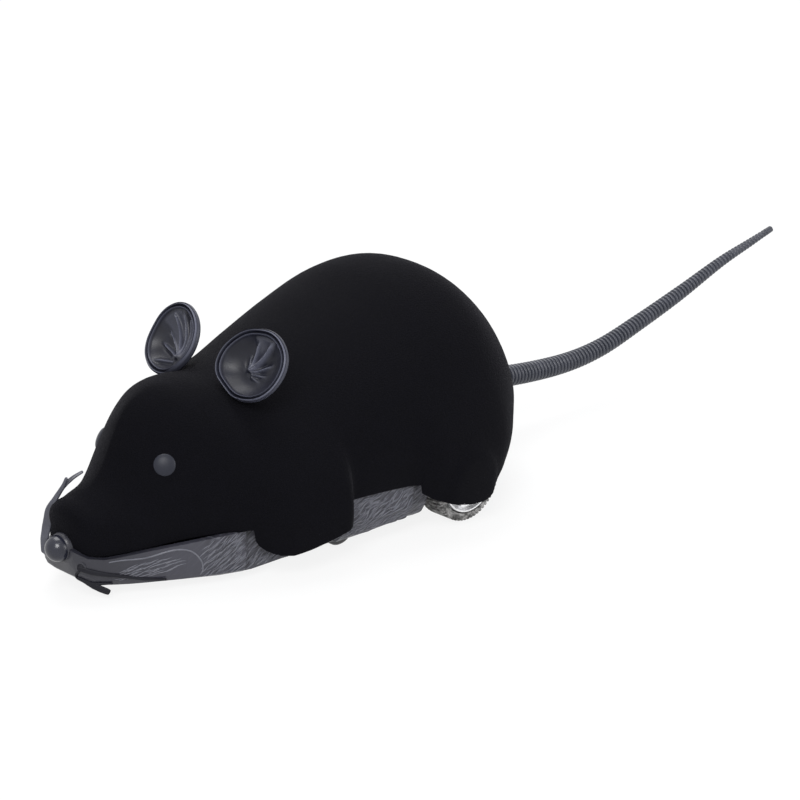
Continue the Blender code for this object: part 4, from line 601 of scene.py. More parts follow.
def shell_rows():
    """Row parameters, close together where the paws and haunches start and end."""
    count = len(shell_row_shares) - 1
    places = np.linspace(0.0, count, 2400)
    edges = np.array([shell_setback + body_length * spline_row(shell_row_shares, p)[0] for p in places])
    edges = np.maximum.accumulate(edges)
    wanted = list(np.arange(edges[0], edges[-1], row_spacing))
    for step in step_places:
        wanted = [w for w in wanted if abs(w - step) > clear_of_step]
        wanted += [step + shift for shift in step_rows]
    parameters = list(np.interp(sorted(wanted), edges, places)) + list(np.linspace(0.0, 4.0, 14))
    parameters += [count, 0.0] + list(np.linspace(count - 2.0, count, 8))
    parameters = sorted(parameters)
    kept = [parameters[0]]
    for value in parameters[1:]:
        if value - kept[-1] > 0.004:
            kept.append(value)
    kept[-1] = float(count)
    return kept


def flocked_shell():
    mirror = np.array([-1.0, 1.0, 1.0])
    rows = []
    for parameter in shell_rows():
        half = shell_half(parameter, 26, 10)[::-1]
        rows.append(np.concatenate([half, half[-2::-1] * mirror]))
    grid = np.array(rows)
    inner = grid - shell_wall * surface_normals(grid)
    count, columns, _ = grid.shape
    verts = [Vector(v) for v in grid.reshape(-1, 3)] + [Vector(v) for v in inner.reshape(-1, 3)]
    faces = grid_faces(count, columns)
    faces += [tuple(reversed(face)) for face in grid_faces(count, columns, offset=count * columns)]
    rim = list(range(columns)) + [i * columns + columns - 1 for i in range(1, count)]
    rim += [(count - 1) * columns + j for j in range(columns - 2, -1, -1)]
    rim += [i * columns for i in range(count - 2, 0, -1)]
    for a, b in zip(rim, rim[1:] + rim[:1]):
        faces.append((b, a, count * columns + a, count * columns + b))
    shell = piece("flocked_shell", verts, faces, flock, "mouse_body", smooth=50)
    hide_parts("upper_shell")
    return BVHTree.FromPolygons([Vector(v) for v in grid.reshape(-1, 3)], grid_faces(count, columns))


shell_tree = flocked_shell()


chassis_mesh = frame["nodes"]["chassis"].data
chassis_tree = BVHTree.FromPolygons([v.co.copy() for v in chassis_mesh.vertices],
                                    [tuple(p.vertices) for p in chassis_mesh.polygons])

# Nose and eyes: places behind the nose tip and up
nose_radius = 0.0027
nose_along, nose_level = 0.0037, 0.0099
eye_radius = 0.0023
eye_along, eye_level = 0.0228, 0.0250
def ball_profile(radius, from_turn, to_turn, steps):
    return [(-radius * math.cos(t), radius * math.sin(t)) for t in np.linspace(from_turn, to_turn, steps)]


def nose_button():
    centre = (0.0, behind_nose(nose_along), nose_level)
    profile = [(-nose_radius, 0.00001)] + ball_profile(nose_radius, 0.12, 2.18, 26)
    profile += [(0.0020, 0.0022), (0.0036, 0.0022), (0.0037, 0.0036), (0.0047, 0.0036)]
    verts, faces = turned_shape(profile, centre, (0, 1, 0), 56)
    button = piece("nose_button", verts, faces, nose_gloss, "mouse_body", smooth=50)
    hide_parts("nose")
    ring = [(0.0002, 0.00268), (0.0003, 0.00282), (0.0009, 0.00300), (0.0017, 0.00315), (0.0028, 0.00320),
            (0.0028, 0.0022)]
    verts, faces = turned_shape(ring, centre, (0, 1, 0), 56, True)
    collar = piece("nose_collar", verts, faces, slate, "mouse_body", smooth=50)


def eyes():
    for name, side in both_sides:
        start = Vector((side * 0.1, behind_nose(eye_along), eye_level))
        spot, normal, _, _ = shell_tree.ray_cast(start, Vector((-side, 0, 0)))
        if normal.x * side < 0:
            normal = -normal
        profile = [(-0.0034, 0.0011), (-0.0006, 0.0011), (-0.0006, 0.0021), (-0.0004, eye_radius)]
        for k in range(15):
            angle = math.pi / 2 * k / 14.5
            profile.append((-0.0003 + 0.0009 * math.sin(angle), eye_radius * math.cos(angle)))
        verts, faces = turned_shape(profile, spot, normal, 40)
        eye = piece("eye_dome_" + name, verts, faces, eye_gloss, "mouse_body", smooth=60)
        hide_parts("eye_" + name)


nose_button()
eyes()


# Ears: rubber cups with a double rim and folds that fan from the root
ear_radius = 0.0086
ear_cup_depth = 0.0026
# Each ear's uneven outline: turns round its middle, from straight down, and shares of the radius
near_outline = (
    (0.32, 0.850), (0.79, 1.035), (1.18, 1.010), (1.75, 0.892), (2.60, 0.852), (3.14, 0.935), (3.90, 0.995),
    (4.59, 0.908), (5.62, 0.832), (6.12, 0.845),
)
far_outline = (
    (0.53, 0.905), (1.10, 0.925), (1.44, 0.904), (2.07, 0.775), (2.77, 0.820), (3.41, 0.854), (4.22, 0.907),
    (4.70, 0.963), (5.21, 0.969), (5.62, 0.935),
)
# Each fold: its turn in the fan, where it starts and ends, its half width and its height
near_folds = (
    (0.70, 0.10, 0.60, 0.055, 0.00060), (0.27, 0.10, 1.05, 0.070, 0.00115),
    (-0.13, 0.08, 1.20, 0.070, 0.00125), (-0.55, 0.12, 0.80, 0.060, 0.00090),
    (-0.98, 0.12, 0.60, 0.055, 0.00075), (-1.50, 0.06, 0.48, 0.060, 0.00060),
)
far_folds = (
    (1.34, 0.10, 1.05, 0.055, 0.00070), (0.89, 0.10, 1.20, 0.048, 0.00090),
    (0.58, 0.08, 1.35, 0.044, 0.00100), (0.20, 0.08, 1.60, 0.042, 0.00115),
    (-0.03, 0.08, 1.50, 0.042, 0.00100), (-0.40, 0.08, 1.30, 0.044, 0.00095),
    (-0.80, 0.10, 1.15, 0.050, 0.00075),
)
# Each ear: outline, folds, root of the fan, turns between which a tongue is raised, and shift off its seat
ear_forms = {
    "left": (near_outline, near_folds, (0.31, 0.06), (-0.16, 0.50), Vector((0.0006, 0.0, 0.0015))),
    "right": (far_outline, far_folds, (0.70, -0.30), (-0.03, 0.60), Vector((0.0004, 0.0, 0.0011))),
}


def outline_share(table, turn):
    """The outline's share of the radius at a turn, with its corners rounded."""
    turns, shares = zip(*table)
    near_turns = turn + np.linspace(-0.22, 0.22, 9)
    return float(np.mean(np.interp(near_turns, turns, shares, period=2 * math.pi)))


def ear_depth(reach, turn, folds, root, sector):
    """Height of the front face over the rim's plane at a share of the radius, and how much painted highlight
    it gets.
    """
    bowl = -ear_cup_depth * (1 - min(reach / 0.84, 1.0) ** 2.6)
    lip = 1.0 + 0.7 * hump(turn, 5.9, 0.45)
    outer_bead = 0.00075 * lip * hump(reach, 0.968, 0.024)
    inner_bead = 0.00058 * hump(reach, 0.872, 0.022)
    groove = -0.00020 * hump(reach, 0.920, 0.020)
    across = reach * math.sin(turn) - root[1]
    up = root[0] - reach * math.cos(turn)
    fan = math.atan2(across, up)
    length = math.hypot(across, up)
    fold = 0.0
    highlight_share = 0.0
    for centre, near, far, width, height in folds:
        off = (fan - centre + math.pi) % (2 * math.pi) - math.pi
        off = (math.sin(off) if abs(off) < 1.4 else 9.0) * length / width
        crest_highlight = 1 / (1 + (1.5 * off) ** 2) - 0.35 * ramp(length / 0.4) * hump(off, 1.6, 0.8)
        reached = ramp((far - length) / 0.30) * ramp((length - near * 0.5) / 0.12)
        fold += height * crest_highlight * reached
        highlight_share = max(highlight_share, height / 0.0010 * reached * ramp(length / 0.30) * math.exp(-(1.5 * off) ** 2))
    low, high = sector
    tongue = plateau(fan, low, high, 0.08, 0.12) * ramp((length - 0.1) / 0.3) * ramp((0.84 - reach) / 0.12)
    raised = 0.00045 * tongue
    highlight_share = max(highlight_share, 0.30 * tongue)
    knot = 0.00060 * hump(length, 0.0, 0.14)
    inside = ramp((0.86 - reach) / 0.06)
    # Painted highlight along the beads of the rim and on the crests of the folds and the tongue
    bead_highlight = hump(reach, 0.978, 0.017) + 0.8 * hump(reach, 0.872, 0.014)
    paleness = max(min(highlight_share, 1.0) * inside * 0.8, bead_highlight)
    return bowl + outer_bead + inner_bead + groove + (fold + raised + knot) * inside, paleness


def ears():
    yaw, pitch, lean = math.radians(8), math.radians(29), math.radians(26)
    rings, sides = 64, 168
    for name, side in both_sides:
        outline, folds, root, sector, shift = ear_forms[name]
        facing = Vector((side * math.sin(yaw) * math.cos(pitch), -math.cos(yaw) * math.cos(pitch),
                         math.sin(pitch)))
        drop = (Vector((0, 0, -1)) + facing * facing.z).normalized()
        down = Matrix.Rotation(-side * lean, 3, facing) @ drop
        across = down.cross(facing)
        seat = Vector((side * 0.0122, behind_nose(0.0435), 0.03955))
        centre = seat + shift
        depth, highlight_share = ear_depth(0.0, 0.0, folds, root, sector)
        verts = [centre + facing * depth]
        paleness = [highlight_share]
        # Rings from the middle out and round the rim to the back: share of the radius, and height if set
        front = [((k / rings) ** 0.9, None) for k in range(1, rings + 1)]
        lip = [(1.012, 0.00035), (1.022, 0.0), (1.020, -0.0003), (1.000, -0.0006)]
        back = [(0.95, -0.0008), (0.88, -0.0011), (0.78, -0.0017), (0.60, -0.0026), (0.40, -0.0033),
                (0.20, -0.0036)]
        edge = [ear_radius * outline_share(outline, 2 * math.pi * k / sides) for k in range(sides)]
        for reach, height in front + lip + back:
            for k in range(sides):
                turn = 2 * math.pi * k / sides
                # Rings past the rim and on the back get a little painted highlight
                depth, highlight_share = height, 0.25 if reach > 1.0 else 0.10
                if height is None:
                    depth, highlight_share = ear_depth(reach, turn, folds, root, sector)
                flat = down * math.cos(turn) + across * math.sin(turn)
                verts.append(centre + facing * depth + flat * edge[k] * reach)
                paleness.append(highlight_share)
        ring_count = rings + len(lip) + len(back)
        faces = grid_faces(ring_count, sides, False, True, offset=1)
        faces += [(0, 1 + (k + 1) % sides, 1 + k) for k in range(sides)]
        faces.append(tuple(1 + (ring_count - 1) * sides + k for k in range(sides)))
        stem_start = seat + down * ear_radius * 0.45 - facing * ear_cup_depth
        stem_way = (down - facing * 0.30).normalized()
        stem = turned_shape([(-0.0016, 0.0012), (-0.0010, 0.0018), (0.002, 0.0016), (0.012, 0.0016)],
                            stem_start, stem_way, 28)
        verts, faces = gather((verts, faces), stem)
        paleness += [0.0] * (len(verts) - len(paleness))
        ear = piece("ear_cup_" + name, verts, faces, soft_rubber, "mouse_body", smooth=60, paleness=paleness)
        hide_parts("ear_" + name)


ears()


# Tail: fine rings from the root to the tip
tail_pivot_along, tail_pivot_level = 0.1176, 0.0162
tail_root_along, tail_tip_along = 0.1186, 0.2200
tail_tip_level = 0.0272
tail_radius = 0.0025
tail_rings = 94


def tail():
    pivot = Vector((0, behind_nose(tail_pivot_along), tail_pivot_level))
    reach = tail_tip_along - tail_root_along
    stops = [pivot]
    for back, rise in ((0.020, 0.580), (0.105, 0.484), (0.273, 0.420), (0.405, 0.442), (0.540, 0.554),
                       (0.678, 0.690), (0.817, 0.846), (0.924, 0.936), (1.000, 1.000)):
        stops.append(Vector((0, behind_nose(tail_root_along + reach * back), tail_tip_level * rise)))
    line = curve_points(stops, 2400)
    steps = np.linalg.norm(np.diff(line, axis=0), axis=1)
    along = np.concatenate([[0.0], np.cumsum(steps)])
    length = along[-1]
    neck = 0.0029
    start_way = Vector(stops[1] - pivot).normalized()
    points = [pivot - start_way * 0.0044, pivot - start_way * 0.0032, pivot - start_way * 0.00317]
    radii = [0.0030, 0.0030, 0.0016]
    points.append(pivot + start_way * neck * 0.97)
    radii.append(0.0016)
    pitch = (length - neck) / tail_rings
    for k in range(tail_rings):
        for part, share in ((0.0, 0.76), (0.10, 0.92), (0.24, 1.0), (0.54, 1.0), (0.72, 0.92), (0.86, 0.76)):
            distance = neck + pitch * (k + part)
            taper = np.interp(distance / length, (0.0, 0.25, 0.66, 1.0), (1.0, 0.92, 0.68, 0.30))
            radius = tail_radius * float(taper)
            points.append(Vector([np.interp(distance, along, line[:, axis]) for axis in range(3)]))
            radii.append(radius * share if k < tail_rings - 2 else radius)
    points.append(Vector(line[-1]) - (Vector(line[-1]) - Vector(line[-20])).normalized() * 0.0006)
    radii.append(0.00072)
    verts, faces = tube_shape(points, radii, 20)
    ringed = piece("ringed_tail", verts, faces, tail_rubber, "tail_piece", smooth=60)
    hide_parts("tail")


tail()


# Whiskers: flat rubber prongs that lie off the muzzle. Places are sideways, behind the nose tip and up
prong_thickness = 0.0005
prong_standoff = 0.00020
prong_steps = 30
near_prongs = (
    ((0.0057, 0.0043, 0.0072), (0.0068, 0.0054, 0.0067), (0.0085, 0.0086, 0.0057), (0.0101, 0.0122, 0.0045),
     (0.0118, 0.0158, 0.0034), (0.0138, 0.0192, 0.0028)),
    ((0.0055, 0.0043, 0.0066), (0.0042, 0.0047, 0.0053), (0.0048, 0.0054, 0.0045), (0.0067, 0.0068, 0.0038),
     (0.0090, 0.0096, 0.0034)),
    ((0.0048, 0.0050, 0.0052), (0.0060, 0.0058, 0.0038), (0.0074, 0.0073, 0.0027), (0.0088, 0.0089, 0.0017)),
)
near_widths = ((0.0011, 0.0010, 0.0007, 0.0006, 0.0006, 0.0004), (0.0005, 0.0005, 0.0006, 0.0006, 0.0004),
               (0.0008, 0.0011, 0.0015, 0.0015))
far_prongs = (
    ((0.0057, 0.0043, 0.0074), (0.0055, 0.0045, 0.0104), (0.0053, 0.0052, 0.0129), (0.0046, 0.0066, 0.0176),
     (0.0036, 0.0082, 0.0206), (0.0030, 0.0086, 0.0223)),
    ((0.0047, 0.0064, 0.0170), (0.0041, 0.0083, 0.0200), (0.0031, 0.0101, 0.0219), (0.0022, 0.0119, 0.0230)),
    ((0.0055, 0.0045, 0.0104), (0.0058, 0.0048, 0.0122), (0.0060, 0.0056, 0.0142)),
)
far_widths = ((0.0010, 0.0018, 0.0021, 0.0013, 0.0009, 0.0006), (0.0010, 0.0010, 0.0009, 0.0006),
              (0.0010, 0.0010, 0.0007))


def strip_shape(points, ways, widths, sides=14):
    """A closed flat strip with rounded edges; its face looks along the ways."""
    round_cap, blunt_cap = ((0.3, 0.8), (0.45, 0.4)), ((0.08, 0.9), (0.12, 0.6))
    verts = []
    last = len(points) - 1
    rings = 0
    for i, point in enumerate(points):
        ahead = (points[min(i + 1, last)] - points[max(i - 1, 0)]).normalized()
        up = (ways[i] - ahead * ways[i].dot(ahead)).normalized()
        across = ahead.cross(up)
        blunt = i == last and widths[i] >= 0.0010
        for shift, share in ring_stops(i, last, blunt_cap if blunt else round_cap):
            for k in range(sides):
                angle = 2 * math.pi * k / sides
                wide = math.copysign(abs(math.cos(angle)) ** 0.6, math.cos(angle)) * widths[i] / 2 * share
                thick = math.copysign(abs(math.sin(angle)) ** 0.8, math.sin(angle)) * prong_thickness / 2
                flat = across * wide + up * thick * (0.5 + share / 2)
                verts.append(point + ahead * shift * widths[i] + flat)
            rings += 1
    return verts, capped_faces(rings, sides)


def lifted(point, standoff):
    """The point, kept this far off the chassis and the flock, and the way out of the nearer one."""
    best = None
    for tree in (chassis_tree, shell_tree):
        spot, out, _, _ = tree.find_nearest(point)
        if out.dot(spot - Vector((0.0, spot.y, 0.0100))) < 0:
            out = -out
        away = (point - spot).length
        lift = (point - spot).dot(out)
        if best is None or away < best[0]:
            best = (away, out)
        if lift < standoff and away < 0.006:
            point = spot + out * standoff
    return point, best[1]


def side_spot(side, distance, height):
    """The place on the chassis's outer wall at this distance and height, and the way out of it."""
    start = Vector((side * 0.1, behind_nose(distance), height))
    spot, way, _, _ = chassis_tree.ray_cast(start, Vector((-side, 0, 0)))
    if spot is not None and way.x * side < 0:
        way = -way
    return spot, way


def peg_mouth(side):
    """The middle of a whisker's hole in the front of the muzzle, and the way out of it."""
    mouth = Vector((side * 0.00557, behind_nose(0.00475), 0.00722))
    return mouth, Vector((side * 0.329, -0.944, -0.021)).normalized()


def eased(line):
    """The line's vectors, each but the first and last drawn a quarter toward each neighbour."""
    return [line[0]] + [(a + 2 * b + c) / 4 for a, b, c in zip(line, line[1:], line[2:])] + [line[-1]]


def whiskers():
    peg = [(-0.0030, 0.0013), (-0.0024, 0.0013), (-0.0023, 0.0008), (0.0002, 0.0008), (0.0004, 0.0006)]
    sight = Vector((0.60, -0.70, 0.30))
    for name, side in both_sides:
        near = side > 0
        shapes = [turned_shape(peg, *peg_mouth(side), 20)]
        prongs, widths = (near_prongs, near_widths) if near else (far_prongs, far_widths)
        for prong, prong_widths in zip(prongs, widths):
            stops = [Vector((side * x, behind_nose(y), z)) for x, y, z in prong]
            line = []
            ways = []
            for place in curve_points(stops, prong_steps):
                point, out = lifted(Vector(place), prong_standoff)
                line.append(point)
                ways.append((out * (1.0 if near else 0.35) + sight).normalized())
            for _ in range(3):
                line = eased(line)
                ways = [way.normalized() for way in eased(ways)]
            places = np.linspace(0, len(prong_widths) - 1, prong_steps + 1)
            wide = np.interp(places, range(len(prong_widths)), prong_widths)
            shapes.append(strip_shape(line, ways, list(map(float, wide))))
        verts, faces = gather(*shapes)
        # The far whiskers take the lighter copy of the same rubber: painted light
        finish = whisker_rubber if near else pale_whisker_rubber
        fan = piece("whisker_prongs_" + name, verts, faces, finish, "mouse_body", smooth=60)
        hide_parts("whiskers_" + name)


whiskers()


# Muzzle moulding: a thin lip ridge, and fur strokes raised on the chassis's side wall, both in a paler finish
# that paints their highlight
def edge_height(distance):
    """Height of the flocked shell's lower edge."""
    places = [shell_setback + body_length * row[0] for row in shell_row_shares]
    levels = [body_height * row[2] for row in shell_row_shares]
    return float(np.interp(distance, places, levels)) - edge_drop(distance)


def lip_ridge():
    stops = ((0.0092, 0.0080), (0.0109, 0.0080), (0.0159, 0.0078), (0.0204, 0.0088), (0.0228, 0.0087),
             (0.0244, 0.0077), (0.0256, 0.0058), (0.0259, 0.0040), (0.0256, 0.0030))
    steps = 60
    for name, side in both_sides:
        line = []
        for distance, height in curve_points([(d, z, 0.0) for d, z in stops], steps)[:, :2]:
            spot, way = side_spot(side, distance, height)
            line.append(spot - way * 0.00002)
        radii = [0.00013 + 0.00006 * math.sin(math.pi * k / steps) for k in range(steps + 1)]
        verts, faces = tube_shape(line, radii, 10)
        ridge = piece("lip_ridge_" + name, verts, faces, fur_stroke_highlight, "mouse_body", smooth=60)


def stroke_shape(side, distance, height, length, slope, bend, width):
    """One bent hair on the chassis's side, or None where the wall is missing, too far in or too steep."""
    points = []
    for k in range(7):
        f = k / 6 - 0.5
        curve = bend * length * (0.25 - f * f)
        spot, way = side_spot(side, distance + length * f * math.cos(slope) - curve * math.sin(slope),
                              height + length * f * math.sin(slope) + curve * math.cos(slope))
        if spot is None or abs(spot.x) < 0.0055 or (points and (spot - points[-1]).length > length / 3):
            return None
        points.append(spot)
    return tube_shape(points, [width * share for share in (0.35, 0.75, 1.0, 1.0, 0.85, 0.6, 0.3)], 6)


def fur_strokes():
    chance = np.random.default_rng(7)
    # zone: from, to, lowest, gap under the edge, pitch along, pitch up, length, slope, swirl, width
    zones = (
        (0.0266, 0.0560, 0.0026, 0.0005, 0.00090, 0.00125, 0.0024, 42, 6, 0.00012),
        (0.0564, 0.0724, 0.0028, 0.0005, 0.00095, 0.00120, 0.0024, 34, 26, 0.00012),
        (0.0972, 0.1080, 0.0040, 0.0006, 0.00110, 0.00140, 0.0024, 30, 20, 0.00012),
    )
    for name, side in both_sides:
        shapes = []
        for start, end, lowest, gap, pitch, rise, length, slope, swirl, width in zones:
            for i, distance in enumerate(np.arange(start, end, pitch)):
                top = min(edge_height(distance + shift) for shift in (0.0, length / 2, -length / 2))
                for height in np.arange(lowest + rise / 2 * (i % 2), top - gap, rise):
                    place = distance + chance.uniform(-0.3, 0.3) * pitch
                    level = height + chance.uniform(-0.3, 0.3) * rise
                    turn = slope + swirl * math.sin(place * 620 + level * 900) + chance.uniform(-7, 7)
                    reach = length * chance.uniform(0.7, 1.25)
                    shape = stroke_shape(side, place, level, reach, math.radians(turn),
                                         chance.uniform(-0.5, 0.5), width * chance.uniform(0.7, 1.3))
                    if shape is not None:
                        shapes.append(shape)
        # A patch of strokes under the lip line, between the nose and the cheek
        for distance in np.arange(0.0112, 0.0224, 0.00075):
            f = (distance - 0.0166) / 0.0060
            half = 0.0015 * math.sqrt(max(0.0, 1 - f * f))
            middle = 0.0057 + 0.0008 * f
            for height in np.arange(middle - half, middle + half, 0.0008):
                level = height + chance.uniform(-0.0002, 0.0002)
                slope = math.radians(16 + chance.uniform(-7, 7))
                shape = stroke_shape(side, distance, level, 0.0021, slope, chance.uniform(-0.3, 0.3), 0.00010)
                if shape is not None:
                    shapes.append(shape)
        verts, faces = gather(*shapes)
        strokes = piece("fur_strokes_" + name, verts, faces, fur_stroke_highlight, "mouse_body", smooth=60)


def whisker_seats():
    """Shallow round bosses where the whiskers' pegs go through the muzzle."""
    profile = [(-0.0003, 0.0012), (0.00002, 0.00125), (0.00008, 0.0011), (0.00012, 0.0006), (0.00013, 0.0001)]
    for name, side in both_sides:
        verts, faces = turned_shape(profile, *peg_mouth(side), 32)
        boss = piece("whisker_seat_" + name, verts, faces, slate, "mouse_body", smooth=60)


whisker_seats()
lip_ridge()
fur_strokes()


# Wheels: ribbed tyres on bright dished hubs, and plain front rollers
axle_y = behind_nose(0.0878)
wheel_radius = 0.0090
wheel_width = 0.0068
wheel_inner_side = 0.0230
rib_foot = 0.0081
rib_depth = 0.00042
rib_count = 60
spoke_count = 10


def tread(place, radius, angle):
    """How much lower the tyre is between its ribs, which lean the same way on both shoulders."""
    if radius < rib_foot:
        return 0.0
    lean = 3.0 * abs(place / wheel_width - 0.5)
    wave = math.cos(rib_count * angle + lean * 2.0)
    return -rib_depth * ramp((wave + 0.05) / 0.45) * ramp((radius - rib_foot) / 0.0006)


def tyres_and_hubs():
    width = wheel_width
    for name, side in both_sides:
        centre = (side * wheel_inner_side, axle_y, wheel_radius)
        profile = [(0.0, 0.0073), (0.0, 0.0076), (0.0003, 0.0078), (0.0003, 0.0081), (0.0002, 0.0086),
                   (0.0004, 0.0089)]
        for k in range(9):
            profile.append((0.0006 + (width - 0.0012) * k / 8, wheel_radius))
        profile += [(width - 0.0004, 0.0089), (width - 0.0002, 0.0086), (width - 0.0003, 0.0081),
                    (width - 0.0002, 0.0078), (width, 0.0077), (width, 0.0073)]
        verts, faces = turned_shape(profile, centre, (side, 0, 0), 480, True, tread)
        tyre = piece("ribbed_tyre_" + name, verts, faces, tyre_rubber, "wheel_" + name, smooth=35)
        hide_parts("tyre_" + name)

        dish = [(0.0, 0.0060), (0.0, 0.00695), (0.0001, 0.0070), (width - 0.0001, 0.0070),
                (width + 0.00005, 0.0069), (width + 0.00005, 0.0066), (width - 0.0003, 0.0064),
                (width - 0.0007, 0.0062), (width - 0.0011, 0.0057), (width - 0.0012, 0.0052),
                (width - 0.0012, 0.0029), (width - 0.0016, 0.0026), (width - 0.0032, 0.0025),
                (width - 0.0032, 0.0013), (0.0, 0.0013), (0.0, 0.0026), (width - 0.0049, 0.0026),
                (width - 0.0049, 0.0060)]
        shapes = [turned_shape(dish, centre, (side, 0, 0), 120, True)]
        for k in range(spoke_count):
            turn = 2 * math.pi * k / spoke_count
            spoke_verts = []
            for reach, half, low, high in ((0.0030, 0.0004, 0.0013, 0.0010), (0.0042, 0.00035, 0.0013, 0.0008),
                                           (0.0058, 0.0005, 0.0013, 0.0005)):
                for across, depth in ((-half, low), (-half * 0.7, high), (half * 0.7, high), (half, low)):
                    spoke_verts.append(Vector((
                        side * (wheel_inner_side + width - depth),
                        axle_y + reach * math.cos(turn) - across * math.sin(turn),
                        wheel_radius + reach * math.sin(turn) + across * math.cos(turn))))
            spoke_faces = grid_faces(3, 4, False, True) + [(3, 2, 1, 0), (8, 9, 10, 11)]
            shapes.append((spoke_verts, spoke_faces))
        verts, faces = gather(*shapes)
        hub = piece("dished_hub_" + name, verts, faces, bright_chrome, "wheel_" + name, smooth=35)
        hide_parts("wheel_hub_" + name)


def rollers():
    for name, side in both_sides:
        centre = (side * 0.0170, behind_nose(0.0598), 0.0040)
        profile = [(-0.0018, 0.0008), (-0.0017, 0.0009), (0.0, 0.0009), (0.0, 0.0036), (0.0001, 0.0038),
                   (0.0004, 0.0040), (0.0032, 0.0040), (0.0035, 0.0038), (0.0036, 0.0036), (0.0036, 0.0009),
                   (0.0053, 0.0009), (0.0054, 0.0008)]
        verts, faces = turned_shape(profile, centre, (side, 0, 0), 64)
        roller = piece("roller_" + name, verts, faces, roller_black, "roller_" + name, smooth=40)
        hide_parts("front_roller_" + name)


tyres_and_hubs()
rollers()


# Contact springs: round wire, wider toward the plate
def contact_springs():
    turns, per_turn = 3, 44
    wire = 0.00019
    for name, _ in both_sides:
        low, high = (Vector(corner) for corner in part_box("contact_spring_" + name))
        cell_low, cell_high = (Vector(corner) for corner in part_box("battery_" + name))
        middle = (cell_low + cell_high) / 2
        way = 1.0 if low.y >= cell_high.y - 0.001 else -1.0
        start = low.y + wire if way > 0 else high.y - wire
        span = high.y - low.y - 2 * wire
        points = []
        for k in range(turns * per_turn + 1):
            f = k / (turns * per_turn)
            angle = 2 * math.pi * turns * f
            radius = 0.0014 + 0.0013 * f
            points.append(Vector((middle.x + radius * math.cos(angle), start + way * span * f,
                                  middle.z + radius * math.sin(angle))))
        verts, faces = tube_shape(points, [wire] * len(points), 12)
        coil = piece("contact_coil_" + name, verts, faces, steel, "mouse_body", smooth=60)
        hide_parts("contact_spring_" + name)


contact_springs()


# Screws: a domed head with a crossed recess, and a threaded shank
# Each one's head radius, head height, shank radius and body
body_screw = (0.0017, 0.0010, 0.0008, "mouse_body")
screw_forms = {
    "body_screw_front": body_screw, "body_screw_left": body_screw, "body_screw_right": body_screw,
    "door_screw": (0.0018, 0.0007, 0.0007, "door"),
}
def carved(verts, faces, cutter_verts, cutter_faces):
    """The first shape with the second taken out of it."""
    things = []
    for shape_verts, shape_faces in ((verts, faces), (cutter_verts, cutter_faces)):
        mesh = bpy.data.meshes.new("blank")
        mesh.from_pydata([tuple(v) for v in shape_verts], [], [tuple(f) for f in shape_faces])
        shape = bmesh.new()
        shape.from_mesh(mesh)
        bmesh.ops.recalc_face_normals(shape, faces=shape.faces)
        shape.to_mesh(mesh)
        shape.free()
        thing = bpy.data.objects.new("blank", mesh)
        bpy.context.scene.collection.objects.link(thing)
        things.append(thing)
    modifier = things[0].modifiers.new("recess", "BOOLEAN")
    modifier.object = things[1]
    modifier.solver = "EXACT"
    modifier.operation = "DIFFERENCE"
    done = things[0].evaluated_get(bpy.context.evaluated_depsgraph_get()).to_mesh()
    result = ([v.co.copy() for v in done.vertices], [tuple(p.vertices) for p in done.polygons])
    things[0].to_mesh_clear()
    for thing in things:
        bpy.data.objects.remove(thing)
    return result


def box_shape(low, high):
    x_pair, y_pair, z_pair = zip(low, high)
    corners = [Vector((x, y, z)) for x in x_pair for y in y_pair for z in z_pair]
    return corners, [(0, 1, 3, 2), (4, 6, 7, 5), (0, 4, 5, 1), (2, 3, 7, 6), (0, 2, 6, 4), (1, 5, 7, 3)]


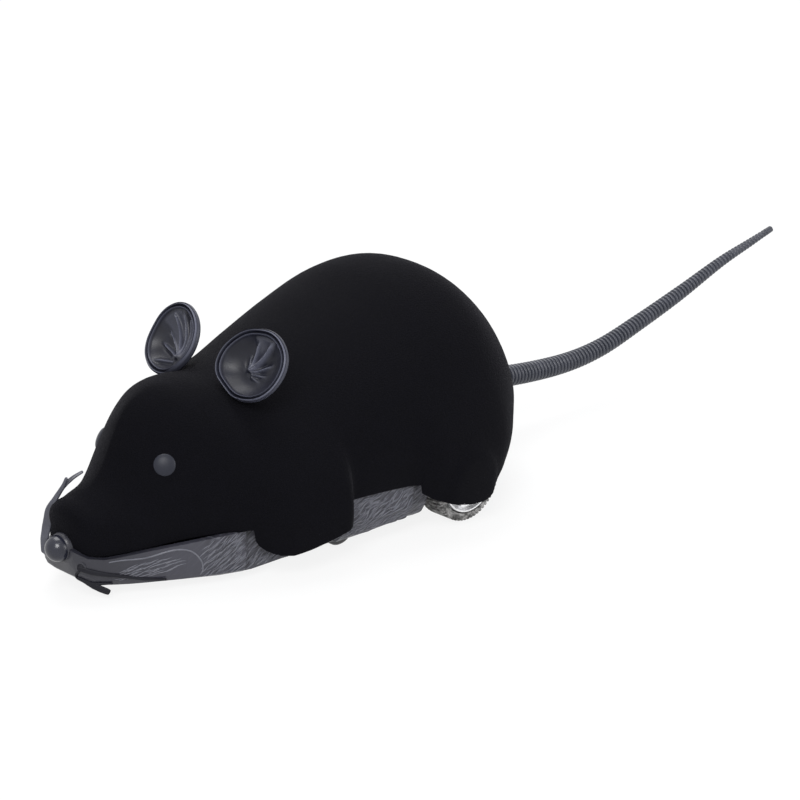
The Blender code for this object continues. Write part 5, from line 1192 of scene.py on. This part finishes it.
def screws():
    for name, (head, head_height, shank, body) in screw_forms.items():
        low, high = (Vector(corner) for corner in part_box(name))
        middle = (low + high) / 2
        length = high.z - low.z
        profile = [(0.0, head * 0.55), (0.00012, head * 0.85), (0.00030, head * 0.98), (0.00040, head),
                   (head_height, head), (head_height, shank * 0.82)]
        place = head_height + 0.0003
        while place < length - 0.0012:
            profile += [(place, shank * 0.82), (place + 0.00012, shank), (place + 0.00024, shank * 0.82)]
            place += 0.00040
        profile += [(length - 0.0006, shank * 0.75), (length, shank * 0.15)]
        verts, faces = turned_shape(profile, (middle.x, middle.y, low.z), (0, 0, 1), 40)
        deep, arm, half = head_height * 0.6, head * 0.58, head * 0.11
        for reach_x, reach_y in ((arm, half), (half, arm)):
            cutter = box_shape((middle.x - reach_x, middle.y - reach_y, low.z - 0.001),
                               (middle.x + reach_x, middle.y + reach_y, low.z + deep))
            verts, faces = carved(verts, faces, *cutter)
        screw = piece("crosshead_" + name, verts, faces, steel, body, smooth=30)
        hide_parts(name)


screws()


# Floor and lights
floor_half_size = 3.0
floor_level = -0.0001
floor_glow = 0.86
lamp_aim = Vector((0, -0.02, 0.02))
white = (1.0, 1.0, 1.0, 1.0)


def floor():
    made = Finish("pale_floor", (0.86, 0.86, 0.86), 0.9, specular_ior_level=0.0)
    glow = made.node("ShaderNodeEmission", {}, {"Color": white, "Strength": 1.0})
    made.end_with(made.in_sight() * floor_glow, Wire(made, made.shader.outputs[0]), glow, "Material Output")
    size = floor_half_size
    mesh = bpy.data.meshes.new("floor")
    mesh.from_pydata([(-size, -size, 0), (size, -size, 0), (size, size, 0), (-size, size, 0)], [],
                     [(0, 1, 2, 3)])
    mesh.materials.append(made.material)
    ground = bpy.data.objects.new("floor", mesh)
    ground.location.z = floor_level
    bpy.context.scene.collection.objects.link(ground)


def world():
    sky = bpy.data.worlds.new("studio")
    sky.use_nodes = True
    nodes = Nodes(sky.node_tree)
    dim = sky.node_tree.nodes["Background"]
    dim.inputs["Color"].default_value = (0.95, 0.97, 1.0, 1.0)
    dim.inputs["Strength"].default_value = 0.55
    bright = nodes.node("ShaderNodeBackground", {}, {"Color": white, "Strength": 1.0})
    nodes.end_with(nodes.in_sight(), Wire(nodes, dim.outputs[0]), bright, "World Output")
    bpy.context.scene.world = sky


def lamp(name, place, power, size):
    data = bpy.data.lights.new(name, "AREA")
    data.energy = power
    data.size = size
    thing = bpy.data.objects.new(name, data)
    thing.location = place
    thing.rotation_euler = (lamp_aim - Vector(place)).to_track_quat("-Z", "Y").to_euler()
    bpy.context.scene.collection.objects.link(thing)


floor()
world()
lamp("key_light", (0.55, -0.75, 0.85), 9.0, 0.5)
lamp("top_light", (-0.35, 0.15, 0.95), 7.0, 0.7)
lamp("fill_light", (0.85, 0.45, 0.35), 2.5, 0.5)
